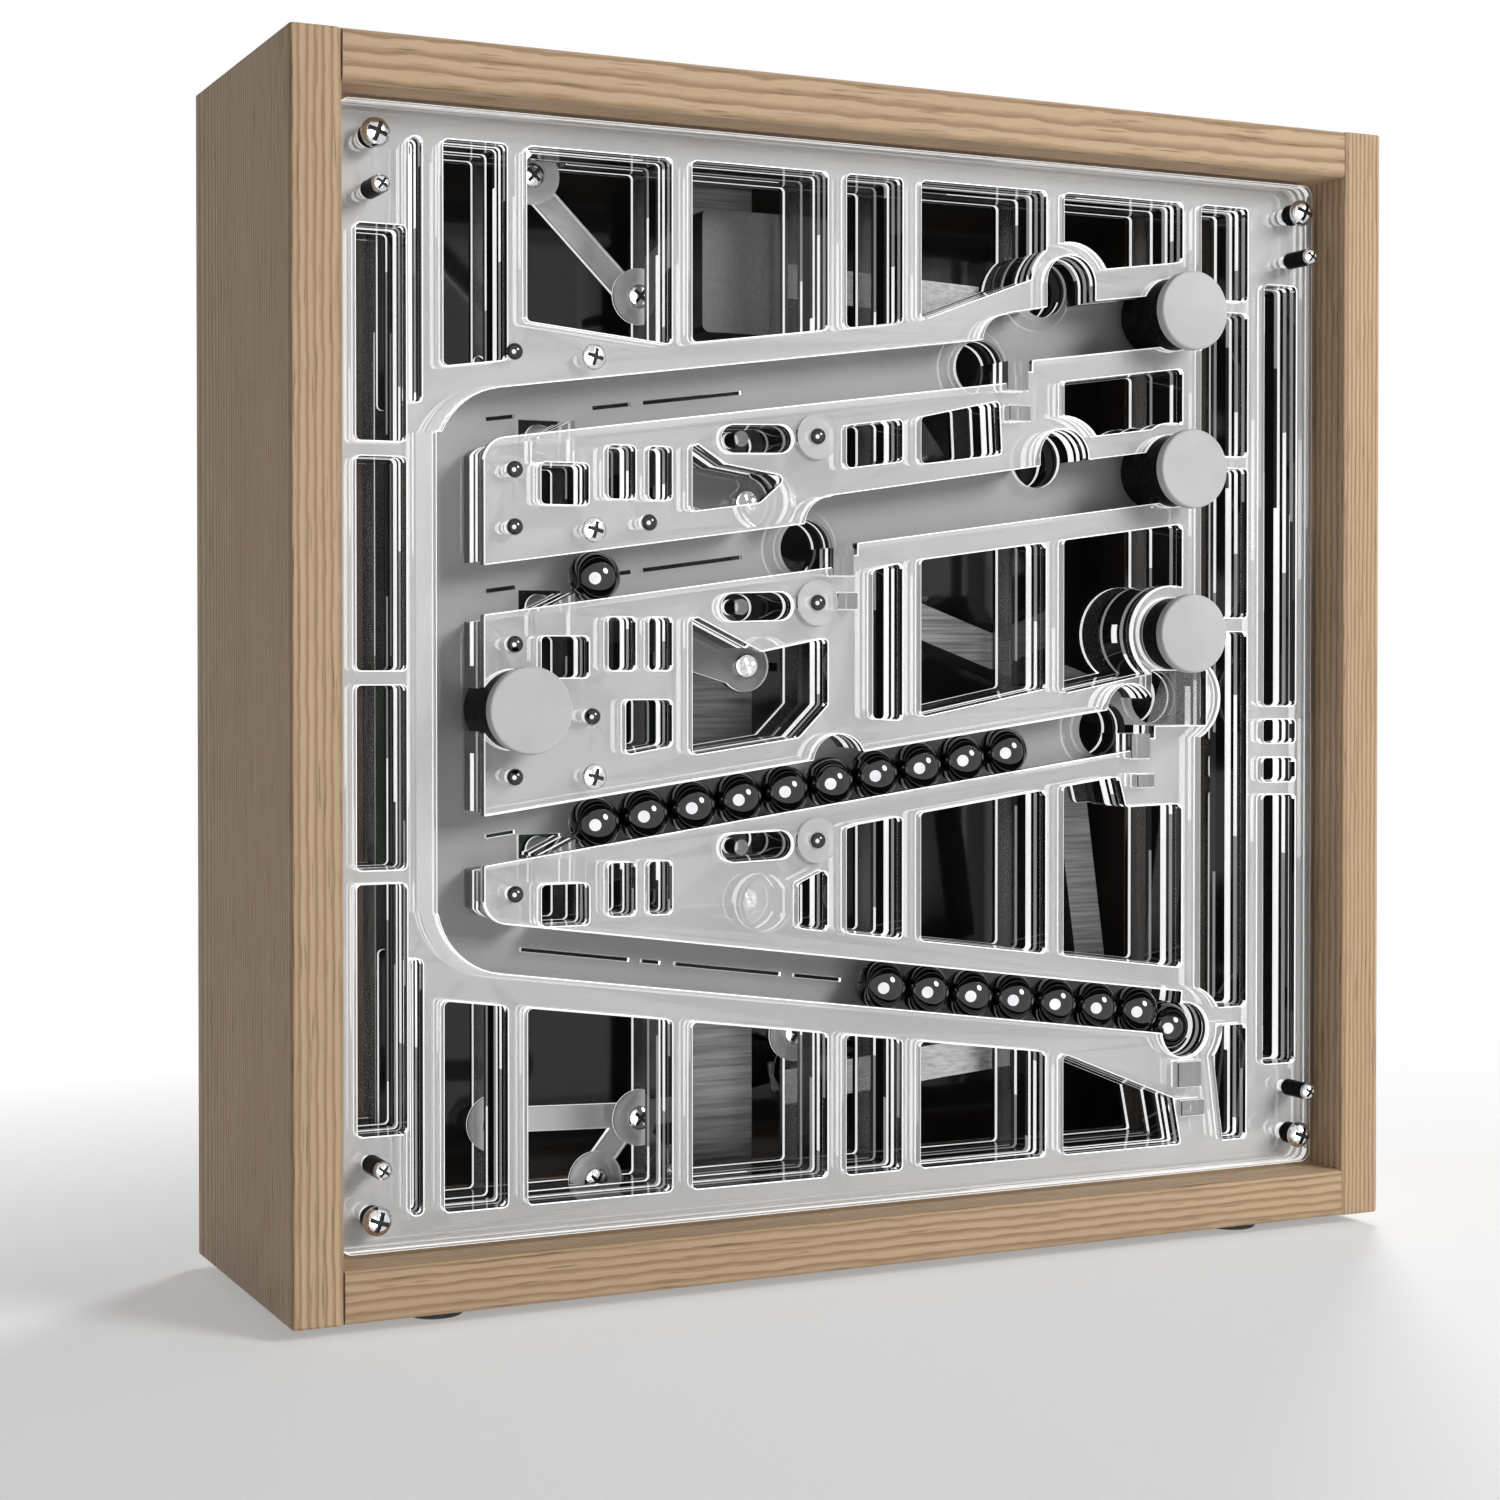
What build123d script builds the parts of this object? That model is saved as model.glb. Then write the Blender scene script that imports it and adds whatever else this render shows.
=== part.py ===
from build123d import *
import math

# Rolling ball clock: a wooden case round a stack of clear sheets with three sloping ball
# tracks, a queue track and, behind them, troughs and a belt lift that carry balls up again.
# Millimetres, +Z up, front towards -Y, origin under the middle of the case at the floor.

# ---------------------------------------------------------------- case
case_width = 300.2
case_height = 290.0
case_depth = 86.5
board = 12.2  # thickness of the four case boards
board_edge = 1.4  # rounding along the boards' edges
foot_height = 3.0
foot_radius = 7.0
foot_inset_x = 38.0
foot_inset_y = 15.0
back_inset = 2.5
back_thickness = 3.0
back_gap = 0.4
back_screw_radius = 2.8
back_screw_inset = 6.0
batten_width = 16.0
batten_depth = 12.0
batten_gap = 0.2
back_screw_stand = 1.8
back_screw_levels = 3

# ---------------------------------------------------------------- the stack of sheets
recess = 11.0  # front sheet's face behind the front edge of the case
sheet = 3.0  # front, middle and rear sheets
track_sheet = 4.0  # the two thicker sheets of the ball layer
closing_sheet = 3.0  # the thin sheet that closes the ball layer
spacer = 7.0  # room for the gate levers
side_gap = 2.1  # between the sheets' edge and the case boards
top_gap = 0.9
sheet_corner = 3.0
window_corner = 1.2

# The sheets' drawing has its zero this far left of, and below, the middle of the case.
datum_x = 150.1
datum_z = 145.0

# ---------------------------------------------------------------- balls and tracks
ball_diameter = 12.7
ball_pitch = 12.75
slope = 0.136  # rise over run of every track
minutes_drop_x = 190.5  # where balls fall back through the sheets, one by one past a full track
tens_drop_x = 140.0
hours_drop_x = 228.1
pocket_x = 142.4
first_x = 79.5  # where the first ball of a timing track rests
minutes_z = 209.8  # height of that ball in each timing track
tens_z = 168.9
hours_z = 110.3
queue_x = 157.7  # the last ball of the queue
queue_z = 66.7
seat = 0.25  # ball to track floor
headroom = 0.9
ball_back_gap = 0.65  # ball to the sheet behind it
slot_rise = 0.65  # the front slots' middle above the balls' middle
front_slot = 11.4  # front slots are narrower than a ball, so that none falls out
tunnel_radius = 7.25  # holes that balls go through to the back
lane_left = 33.6  # return lane in the ball layer
lane_front_left = 37.7  # its left side in the front sheet
lane_right = 49.2
lane_corner = 12.0
hour_ball_count = 10
queue_ball_count = 7
trough_ball_count = 7
landing_room = 13.6  # height of the landings, at the button and at the drop
landing_room_drop = 12.6
landing_end = 3.0  # they end this far left of the button's middle
arch_rise = 5.0
pocket_arch_rise = 4.6
exit_ball_back = 3.0  # the ball in the exit hole has moved this far back

# ---------------------------------------------------------------- windows between the ribs
window_top = 269.3
window_bottom = 21.0
columns = ((39.4, 55.0), (60.0, 97.0), (102.4, 139.0), (144.3, 160.0), (165.4, 202.0), (207.5, 244.0))
edge_column = (250.0, 264.8)
right_slot = (270.3, 280.7)
left_slot = (18.5, 30.4)
narrow_slot = (31.2, 34.2)
band = 6.4  # width of the strip above and below a slot
slit_width = 1.0
edge_levels = ((244.7, window_top), (203.3, 241.3), (160.3, 200.0), (56.5, 156.5), (window_bottom, 51.5))
right_levels = ((136.7, 249.5), (126.7, 133.0), (116.3, 122.7), (40.3, 112.7))
left_levels = ((199.3, 248.7), (146.7, 195.7), (101.0, 143.3), (40.0, 97.7))
narrow_levels = ((208.5, window_top), (window_bottom, 80.0))
lever_windows = ((63.5, 75.5, -24.0, -14.2), (80.5, 87.5, -22.3, -9.6), (91.0, 97.0, -22.3, -9.6))
slit_runs = ((54.7, 62.0), (82.0, 92.0), (95.3, 122.0))
queue_slit_runs = ((63.5, 91.7), (95.0, 100.0), (104.0, 133.0), (136.7, 150.0))
roof_climb = 9.0  # the strip over the minutes slot climbs this much more over its drop
roof_climb_from = 165.0
roof_climb_run = 25.0
kidney_width = 6.8
kidney_start = (34.0, -7.0)  # from the first ball
kidney_end = (46.6, -6.6)
tunnel_wall = 3.2
boss_wall = 4.6  # solid ring round a tunnel that opens inside a window
entry_wall = 5.0
spacer_left = 28.4
block_width = 8.9  # left ends of the islands behind the middle sheet
block_gap = 1.0
block_inset = 0.6
tenon_stand = 0.4
tenons = ((190.3, 196.3, 218.0, 225.3), (191.0, 197.0, 210.3, 214.0), (140.3, 146.0, 170.0, 176.8),
          (141.6, 147.0, 161.7, 165.7), (228.0, 233.7, 123.3, 129.7), (230.0, 235.0, 115.7, 119.0),
          (243.0, 250.0, 36.0, 42.5), (244.0, 251.0, 28.3, 32.3))

# ---------------------------------------------------------------- buttons
button_radius = 10.25
button_face = 1.0  # behind the front edge of the case
button_cap = 2.6
button_travel = 3.0
plunger_radius = 9.4
plunger_end_gap = 0.4
button_clearance = 0.08
button_ring = 2.5
stem_radius = 2.9
snap_radius = 4.2
snap_length = 1.9
spring_bore = 6.0
spring_bore_depth = 10.0
spring_radius = 4.5
spring_wire = 0.8
spring_turns = 5
right_button_x = 241.0
minutes_button_z = 239.9
tens_button_z = 198.8
hours_button_z = 155.9
reset_button_x = 57.2
reset_button_z = 137.4

# ---------------------------------------------------------------- gate levers
pivot_dx = 45.0  # pivot, guide pin and kidney slot, measured from the first ball
pivot_dz = -21.3
pin_dx = 36.0
pin_dz = -6.9
pin_radius = 1.9
lever = 3.0  # thickness
lever_gap = 0.35
lever_hub = 6.5
lever_arm = 3.2
lever_taper = 1.0  # the arms meet the hub this much inside its rim
tip_rise = 0.9  # middle of the lever's tip above the track floor
wedge_toe = 0.4  # height of the wedge's thin end
pivot_radius = 2.0
pivot_clearance = 0.05
wedge_height = 4.2  # above the track floor
wedge_length = 8.0
wedge_root = 0.3  # below the track floor
wedge_gap = 0.35  # to the ball and to the openings round it
gate_drop = 5.3  # degrees

# ---------------------------------------------------------------- screws, pins, washers
screw_inset_x = 21.7
screw_inset_z = 21.5
corner_head = 3.5
corner_head_face = 4.0
corner_head_length = 2.6
corner_shank = 1.9
sleeve_wall = 0.9
standoff_head = 2.2
standoff_face = 1.0
standoff_head_length = 1.6
standoff_inset_z = 33.7
pin_head = 2.0
pin_head_stand = 1.6
pin_shank = 1.4
island_head = 3.1
island_head_stand = 1.2
island_shank = 1.5
pin_offsets = ((-22.7, 11.4), (-22.7, -16.1))  # from the first ball of each track
island_screw_offset = (-2.7, 11.1)
washer_offset = (56.2, -5.7)
reset_pin_offset = (-3.2, -1.7)  # from the first ball's x and the reset button's height
tens_pin_offset = (11.5, 13.1)
standoff_shank = 1.3
screw_grip = 8.0  # how far the corner screws reach into the battens
washer_radius = 5.6
washer_thickness = 1.0
cross_slot = 0.7

# ---------------------------------------------------------------- troughs and lift
trough_wall = 1.0
trough_side_gap = 0.4
trough_gap = 0.3
trough_lip = 1.5
lift_x = 129.4
lift_depth = 66.0
lift_bottom = 30.0
lift_top = 250.0
pulley_radius = 4.6
belt_thickness = 0.8
belt_width = 9.0
axle_radius = 1.5
axle_clearance = 0.05
carrier_pitch = 50.0
carrier_count = 4
carrier_reach = 13.0
carrier_width = 14.0
carrier_floor = 1.6
carrier_first = 46.0
falling_first = 92.0
carrier_lip = 2.3
carrier_back = 11.0
belt_gap = 0.3
lift_load_x = 157.5  # where a ball waits beside the lift
top_slope = 0.12
top_clearance = 2.3  # the top trough stays this much further from the lift than that ball
drop_start = 4.0  # the hours drop's ball has fallen this far when it meets its trough
drop_run = 7.0
drop_end = 24.0
frame_plate = 2.0
frame_width = 20.0
frame_gap = 1.2
motor_width = 24.0
motor_height = 31.0
motor_drop = 2.5
motor_corner = 2.0
motor_gap = 0.5
axle_grip = 3.0
frame_foot = 12.0

# ---------------------------------------------------------------- braces and control board
brace_width = 6.0
brace_thickness = 2.5
disc_radius = 7.0
lone_disc = (141.3, 53.5)  # a disc with its screw and no bar
braces = (((98.2, 239.2), (70.0, 267.0)), ((98.2, 35.1), (86.4, 20.6)), ((98.2, 35.1), (60.0, 36.5)))
pivot_head = 1.2
board_x = 70.0
board_z = 120.0
board_width = 60.0
board_height = 45.0
board_sheet = 1.6
board_post = 6.0
post_inset = 4.0

# ================================================================ worked out from those
half_width = case_width / 2
half_depth = case_depth / 2
case_middle_z = foot_height + case_height / 2
ball_radius = ball_diameter / 2
front_back = recess + sheet
track_front_back = front_back + track_sheet
track_centre_back = track_front_back + track_sheet
track_back = track_centre_back + closing_sheet
middle_back = track_back + sheet
spacer_back = middle_back + spacer
rear_back = spacer_back + sheet
ball_depth = track_back - ball_back_gap - ball_radius
sheet_width = case_width - 2 * (board + side_gap)
sheet_height = case_height - 2 * (board + top_gap)
track_slot = ball_diameter + seat + headroom
track_rise = (headroom - seat) / 2
trough_half = ball_radius + trough_side_gap
trough_depth = rear_back + trough_gap + trough_wall + trough_half
along = 1 / math.hypot(1, slope)
wedge_right = first_x - 0.93 * ball_radius - wedge_gap
tracks = {"minutes": minutes_z, "tens": tens_z, "hours": hours_z}


def face(depth):
    """Drawing plane of the sheets at a depth behind the case's front edge; extrudes forward."""
    corner = (-datum_x, depth - half_depth, case_middle_z - datum_z)
    return Plane(origin=corner, x_dir=(1, 0, 0), z_dir=(0, -1, 0))


def at(x, depth, z):
    """A point of the drawing, at a depth, in the part's own frame."""
    return Vector(x - datum_x, depth - half_depth, z + case_middle_z - datum_z)


def ball_line(z, x):
    """Height of a timing track's ball line at x."""
    return z + slope * (x - first_x)


def queue_line(x):
    return queue_z - slope * (x - queue_x)


# Where balls pass through the sheets to and from the troughs behind them
minutes_drop = (minutes_drop_x, ball_line(minutes_z, minutes_drop_x))
minutes_entry = (209.6, 246.2)
tens_drop = (tens_drop_x, ball_line(tens_z, tens_drop_x))
tens_entry = (207.6, 201.4)
hours_drop = (hours_drop_x, ball_line(hours_z, hours_drop_x))
hours_entry = (244.5, 139.0)
hours_pocket = (pocket_x, ball_line(hours_z, pocket_x))
queue_exit = (245.4, 51.0)
tunnels = (minutes_drop, minutes_entry, tens_drop, tens_entry, hours_drop, hours_entry, queue_exit)
exit_ball_depth = ball_depth + exit_ball_back

right_buttons = ((right_button_x, minutes_button_z), (right_button_x, tens_button_z),
                 (right_button_x, hours_button_z))
reset_button = (reset_button_x, reset_button_z)
buttons = right_buttons + (reset_button,)

corner_points = [(side * (half_width - screw_inset_x) + datum_x,
                  up * (case_height / 2 - screw_inset_z) + datum_z)
                 for side in (-1, 1) for up in (-1, 1)]
standoff_points = [(side * (half_width - screw_inset_x) + datum_x,
                    up * (case_height / 2 - standoff_inset_z) + datum_z)
                   for side in (-1, 1) for up in (-1, 1)]

# Round-headed pins at the left end of each island, screws beside them, and washered pins
pin_points = []
island_screw_points = []
washer_points = []
for z in tracks.values():
    pin_points += [(first_x + across, z + up) for across, up in pin_offsets]
    island_screw_points.append((first_x + island_screw_offset[0], z + island_screw_offset[1]))
    washer_points.append((first_x + washer_offset[0], z + washer_offset[1]))
pin_points.append((first_x + reset_pin_offset[0], reset_button_z + reset_pin_offset[1]))
pin_points.append((first_x + tens_pin_offset[0], tens_z + tens_pin_offset[1]))
pivot_points = [(first_x + pivot_dx, z + pivot_dz) for z in tracks.values()]
brace_points = [braces[0][0], braces[0][1], braces[1][0], braces[1][1], braces[2][1], lone_disc]
motor_front = rear_back + motor_gap


def back_screw_points():
    """Screws up both sides of the back panel, in the drawing's coordinates."""
    across = half_width - board - back_screw_inset
    rise = (case_height - 2 * board - 4 * back_screw_inset) / (back_screw_levels - 1)
    return [(datum_x + side * across, datum_z + (number - (back_screw_levels - 1) / 2) * rise)
            for side in (-1, 1) for number in range(back_screw_levels)]


# ================================================================ outlines shared by the sheets
def minutes_roof(x):
    """Top of the strip over the minutes slot, which climbs steeply past the drop."""
    rise = ball_line(minutes_z, x) + slot_rise + front_slot / 2 + band
    return rise + roof_climb * min(max((x - roof_climb_from) / roof_climb_run, 0), 1)


def roof(z, x):
    return ball_line(z, x) + slot_rise + front_slot / 2 + band


def floor_under(z, x):
    return ball_line(z, x) + slot_rise - front_slot / 2 - band


def landing_under(z, x):
    """Underside of the raised floor below a track's entry."""
    return ball_line(z, x) - band


def queue_roof(x):
    return queue_line(x) + ball_radius + band


def queue_under(x):
    return queue_line(x) - ball_radius - band


def window_shapes():
    """Corner lists of every window between the ribs."""
    shapes = []
    for number, (left, right) in enumerate(columns):
        low_left = max(minutes_roof(left), 228.5 if number == 1 else 0)
        shapes.append([(left, low_left), (right, minutes_roof(right)),
                       (right, window_top), (left, window_top)])
        drop = 10.0 if number == 5 else 0.0
        shapes.append([(left, window_bottom), (right, window_bottom),
                       (right, queue_under(right) - drop), (left, queue_under(left))])
        if number == 3:
            shapes.append([(left, roof(tens_z, left) + 6.2), (right, roof(tens_z, right) + 6.2),
                           (right, floor_under(minutes_z, right)), (left, floor_under(minutes_z, left))])
            shapes.append([(left + 7.4, roof(hours_z, left) + 2.6), (right, roof(hours_z, right)),
                           (right, landing_under(tens_z, right)), (left + 7.4, landing_under(tens_z, left))])
        if number == 4:
            shapes.append([(left, roof(tens_z, left) + 5.0), (right - 13.3, roof(tens_z, right - 13.3) + 5.0),
                           (right - 14.0, floor_under(minutes_z, right)),
                           (left, floor_under(minutes_z, left))])
        if number == 5:
            shapes.append([(left, landing_under(tens_z, left) + 26.0),
                           (right, landing_under(tens_z, right) + 26.0),
                           (right, landing_under(minutes_z, right)), (left, landing_under(minutes_z, left))])
        if number in (4, 5):
            shapes.append([(left, roof(hours_z, left)), (right, roof(hours_z, right) + 2.0),
                           (right, landing_under(tens_z, right)), (left, landing_under(tens_z, left))])
        if number in (3, 4):
            shapes.append([(left, queue_roof(left)), (right, queue_roof(right)),
                           (right, floor_under(hours_z, right)), (left, floor_under(hours_z, left))])
        if number == 5:
            shapes.append([(left, queue_roof(left)), (right, queue_roof(right)), (right, 111.0),
                           (left + 19.0, 110.5), (left + 16.8, floor_under(hours_z, left + 16.8)),
                           (left, floor_under(hours_z, left))])
    # lower part of the third column: beside the lever windows
    left, right = columns[2]
    shapes.append([(left, roof(hours_z, left)), (right - 8.0, roof(hours_z, right - 8.0)), (right, 138.0),
                   (right, 154.5), (right - 18.0, 151.0), (left, 160.0)])
    shapes.append([(right - 8.0, queue_roof(right - 8.0)), (right, queue_roof(right)),
                   (right, 97.5), (right - 8.0, 94.0)])
    shapes.append([(left, 185.0), (left + 18.0, 187.5), (left + 25.5, 194.0), (left + 9.0, 196.5),
                   (left, 202.0)])
    left, right = columns[1]
    shapes.append([(right - 12.0, 126.5), (right, 128.5), (right, 139.5), (right - 12.0, 139.5)])
    for (left, right), levels in ((edge_column, edge_levels), (right_slot, right_levels),
                                  (left_slot, left_levels), (narrow_slot, narrow_levels)):
        shapes += [[(left, low), (right, low), (right, high), (left, high)] for low, high in levels]
    return shapes


def lever_openings(z):
    """Small windows of one island, in which its gate lever shows."""
    for left, right, low, high in lever_windows:
        yield [(left, z + low), (right, z + low), (right, z + high), (left, z + high)]


def kidney(z):
    """End points of the slot that the guide pin moves in."""
    return [(first_x + across, z + up) for across, up in (kidney_start, kidney_end)]


def island_blocks():
    """Left ends of the islands, in the layer between the middle and rear sheets."""
    left = lane_right + block_inset
    right = left + block_width
    gap = track_slot / 2 + block_gap
    for top, low in ((minutes_z, tens_z), (tens_z, hours_z), (hours_z, queue_line(right) + 2.0)):
        high_z = ball_line(top, left) - gap
        low_z = ball_line(low, left) + gap if low > 100 else low + gap
        yield [(left, low_z), (right, low_z), (right, high_z), (left, high_z)]


def wedge_floor(z):
    """Track floor under the middle of a gate's wedge."""
    return ball_line(z, wedge_right - wedge_length / 2) - ball_radius - seat


def wedge_pocket(z):
    """Left, right, bottom and top of the room that the gate's wedge sinks into."""
    sink = math.radians(gate_drop) * (pivot_dx + first_x - wedge_right)
    low = wedge_floor(z) - wedge_root - sink - 3 * wedge_gap
    high = wedge_floor(z) + wedge_height + 2 * wedge_gap
    return wedge_right - wedge_length - sink / 2, wedge_right + wedge_gap, low, high


# ================================================================ the cut sheets
def save(part, name):
    """Label one finished piece and write it."""
    part.label = name
    export_step(part, f"parts/{name}.step")


def polygon_face(corners, rounding=0.0):
    """One closed outline, with rounded corners where a rounding is given."""
    with BuildSketch(Plane.XY) as outline:
        Polygon(*corners, align=None)
        if rounding:
            fillet(outline.vertices(), rounding)
    return outline.face()


def round_face(centre, radius):
    with BuildSketch(Plane.XY) as outline:
        with Locations(centre):
            Circle(radius)
    return outline.face()


def box_face(left, right, low, high):
    return polygon_face(((left, low), (right, low), (right, high), (left, high)))


def stroke_faces(points, width, corner=0.0):
    """A strip of one width along a centre line, its corners rounded where asked."""
    with BuildSketch(Plane.XY) as strip:
        with BuildLine():
            if corner:
                FilletPolyline(*points, radius=corner)
            else:
                Polyline(*points)
        trace(line_width=width)
    return strip.faces()


def arch_faces(centre, low, raised=0.0):
    """A round-topped opening over a tunnel, down to the slot."""
    high = centre[1] + raised
    return [round_face((centre[0], high), tunnel_radius),
            box_face(centre[0] - tunnel_radius, centre[0] + tunnel_radius, low, high)]


def boss_faces():
    """Solid rings and feet that stand inside the windows."""
    faces = [round_face(centre, button_radius + button_ring) for centre in right_buttons]
    for centre in (minutes_entry, tens_entry):
        faces.append(round_face((centre[0], centre[1] - 1.5), tunnel_radius + entry_wall))
    for centre in (hours_drop, hours_pocket, hours_entry, tens_drop, queue_exit):
        faces.append(round_face(centre, tunnel_radius + boss_wall))
    for centre in washer_points:
        faces.append(round_face(centre, washer_radius + 0.6))
    faces.append(polygon_face(((236.0, 45.0), (240.5, 38.0), (244.0, window_bottom - 1),
                               (257.5, window_bottom - 1), (254.5, 43.0), (257.0, 55.0))))
    return faces


def slot_faces(width, rise, lane_side):
    """The timing slots with their landings and arches, and the lane that leads to the queue."""
    lane_x = (lane_side + lane_right) / 2
    start = (minutes_drop[0], minutes_drop[1] + rise)
    end_x = queue_exit[0] - 2.0
    top = (lane_x, ball_line(minutes_z, lane_x) + rise)
    low = (lane_x, queue_line(lane_x) + rise)
    faces = list(stroke_faces((start, top, low, (end_x, queue_line(end_x) + rise)), width, lane_corner))
    faces.append(box_face(lane_side, lane_right, hours_z - 20, minutes_z - 8))
    for z, reach in ((tens_z, tens_drop[0]), (hours_z, hours_drop[0])):
        ends = ((lane_x, ball_line(z, lane_x) + rise), (reach, ball_line(z, reach) + rise))
        faces.extend(stroke_faces(ends, width))
    # landings: from the drop, under the entry and on to the button's bore
    under = 0.0 if width < ball_diameter else -1.2
    for z, drop, entry, button in ((minutes_z, minutes_drop, minutes_entry, right_buttons[0]),
                                   (tens_z, tens_drop, tens_entry, right_buttons[1])):
        stop = button[0] - landing_end
        faces.append(polygon_face(((drop[0], ball_line(z, drop[0]) + under),
                                   (stop, ball_line(z, stop) + under),
                                   (stop, ball_line(z, stop) + landing_room),
                                   (entry[0], ball_line(z, entry[0]) + landing_room),
                                   (drop[0], ball_line(z, drop[0]) + landing_room_drop))))
        faces.extend(arch_faces(entry, ball_line(z, entry[0]) + 4))
        faces.extend(arch_faces(drop, ball_line(z, drop[0]) - 2, arch_rise))
    # the hours entry is a pocket under its button
    faces.append(box_face(hours_entry[0] - 10.0, hours_entry[0] + tunnel_radius,
                          hours_entry[1] - tunnel_radius, hours_entry[1] + tunnel_radius))
    faces.extend(arch_faces(hours_drop, hours_drop[1] - 2, arch_rise))
    faces.extend(arch_faces(hours_pocket, hours_pocket[1] - 2, pocket_arch_rise))
    faces.append(round_face(queue_exit, tunnel_radius))
    return faces


def slit_faces():
    """Fine sight lines along the balls' middle, in the sheet behind them."""
    faces = []
    for z in tracks.values():
        for left, right in slit_runs:
            faces.extend(stroke_faces(((left, ball_line(z, left)), (right, ball_line(z, right))), slit_width))
    for left, right in queue_slit_runs:
        faces.extend(stroke_faces(((left, queue_line(left)), (right, queue_line(right))), slit_width))
    return faces


def fastener_faces():
    """Holes of the screws and pins that hold the sheets together."""
    faces = [round_face(point, corner_shank) for point in corner_points]
    faces += [round_face(point, standoff_shank) for point in standoff_points]
    faces += [round_face(point, pin_shank) for point in pin_points]
    faces += [round_face(point, island_shank) for point in island_screw_points + washer_points]
    return faces


def lever_faces():
    """Small windows and kidney slots in which the gate levers show."""
    faces = []
    for z in tracks.values():
        faces += [polygon_face(shape, window_corner) for shape in lever_openings(z)]
        start, end = kidney(z)
        faces += stroke_faces((start, end), kidney_width)
        faces += [round_face(point, kidney_width / 2) for point in (start, end)]
    return faces


def pocket_faces():
    """Room for the wedges, and for the levers' hubs behind the islands."""
    faces = []
    for z in tracks.values():
        faces.append(box_face(*wedge_pocket(z)))
        faces.append(round_face((first_x + pivot_dx, z + pivot_dz), lever_hub + 2 * lever_gap))
    return faces


with BuildSketch(Plane.XY) as blank:
    with Locations((datum_x, datum_z)):
        RectangleRounded(sheet_width, sheet_height, sheet_corner)
    add([polygon_face(shape, window_corner) for shape in window_shapes()], mode=Mode.SUBTRACT)
    add(boss_faces())
    add(fastener_faces() + lever_faces(), mode=Mode.SUBTRACT)

tenon_faces = [box_face(*tenon) for tenon in tenons]
tunnel_faces = [round_face(centre, tunnel_radius) for centre in tunnels]
bore_faces = [round_face(centre, plunger_radius + button_clearance) for centre in buttons]
stem_faces = [round_face(centre, stem_radius + button_clearance) for centre in buttons]

with BuildPart() as front_plate:
    with BuildSketch(face(front_back)):
        add(blank.sketch)
        add(slot_faces(front_slot, slot_rise, lane_front_left) + bore_faces + tenon_faces, mode=Mode.SUBTRACT)
    extrude(amount=sheet)
save(front_plate.part, "front_plate")

with BuildSketch(Plane.XY) as ball_layer:
    add(blank.sketch)
    add(slot_faces(track_slot, track_rise, lane_left) + bore_faces + tenon_faces + pocket_faces(),
        mode=Mode.SUBTRACT)

track_layers = (("track_plate_front", front_back, track_front_back),
                ("track_plate_centre", track_front_back, track_centre_back),
                ("track_plate_rear", track_centre_back, track_back))
for name, front, back in track_layers:
    with BuildPart() as track_plate:
        with BuildSketch(face(back)):
            add(ball_layer.sketch)
        extrude(amount=back - front)
    save(track_plate.part, name)

with BuildPart() as middle_plate:
    with BuildSketch(face(middle_back)):
        add(blank.sketch)
        add(tunnel_faces + slit_faces() + stem_faces + pocket_faces(), mode=Mode.SUBTRACT)
    extrude(amount=sheet)
save(middle_plate.part, "middle_plate")

with BuildPart() as rear_plate:
    with BuildSketch(face(rear_back)):
        add(blank.sketch)
        add([round_face(point, island_head + 2.0) for point in brace_points])
        add(tunnel_faces + [round_face(point, pivot_radius) for point in pivot_points], mode=Mode.SUBTRACT)
        add([round_face(point, island_shank) for point in brace_points], mode=Mode.SUBTRACT)
    extrude(amount=sheet)
save(rear_plate.part, "rear_plate")

# Frame, tunnel rings and island blocks that keep the middle and rear sheets apart
with BuildPart() as stack_spacers:
    with BuildSketch(face(spacer_back)):
        with Locations((datum_x, datum_z)):
            RectangleRounded(sheet_width, sheet_height, sheet_corner)
        add(box_face(spacer_left, 2 * datum_x - spacer_left, window_bottom, window_top), mode=Mode.SUBTRACT)
        add([round_face(centre, tunnel_radius + tunnel_wall) for centre in tunnels])
        add([polygon_face(block, 2.0) for block in island_blocks()])
        add(tunnel_faces + fastener_faces()[:8] + [round_face(reset_button, snap_radius + 1.0)],
            mode=Mode.SUBTRACT)
        add([round_face(point, disc_radius + lever_gap) for point in brace_points], mode=Mode.SUBTRACT)
    extrude(amount=spacer)
save(stack_spacers.part, "stack_spacers")

# Short blocks tenoned through the sheets at the right-hand end of each track floor
with BuildPart() as tenon_blocks:
    with BuildSketch(face(track_back)):
        add(tenon_faces)
    extrude(amount=track_back - recess + tenon_stand)
save(tenon_blocks.part, "tenon_blocks")


# ================================================================ case
inner_width = case_width - 2 * board
inner_height = case_height - 2 * board
side_boards = (("case_side_left", -1), ("case_side_right", 1))
level_boards = (("case_bottom", -1), ("case_top", 1))

for name, side in side_boards:
    with BuildPart() as side_board:
        with Locations((side * (half_width - board / 2), 0, case_middle_z)):
            Box(board, case_depth, case_height)
        fillet(side_board.edges().filter_by(Axis.Z), board_edge)
        fillet(side_board.edges().filter_by(Axis.Y).group_by(SortBy.LENGTH)[-1], board_edge / 2)
    save(side_board.part, name)

for name, up in level_boards:
    with BuildPart() as level_board:
        with Locations((0, 0, case_middle_z + up * (case_height / 2 - board / 2))):
            Box(inner_width, case_depth, board)
        fillet(level_board.edges().filter_by(Axis.X), board_edge)
    save(level_board.part, name)

feet = [(x, y, foot_height / 2)
        for x in (foot_inset_x - half_width, half_width - foot_inset_x)
        for y in (foot_inset_y - half_depth, half_depth - foot_inset_y)]
with BuildPart() as rubber_feet:
    with Locations(*feet):
        Cylinder(foot_radius, foot_height)
    fillet(rubber_feet.faces().filter_by(Axis.Z).group_by(Axis.Z)[0].edges(), foot_height / 4)
save(rubber_feet.part, "rubber_feet")

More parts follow.
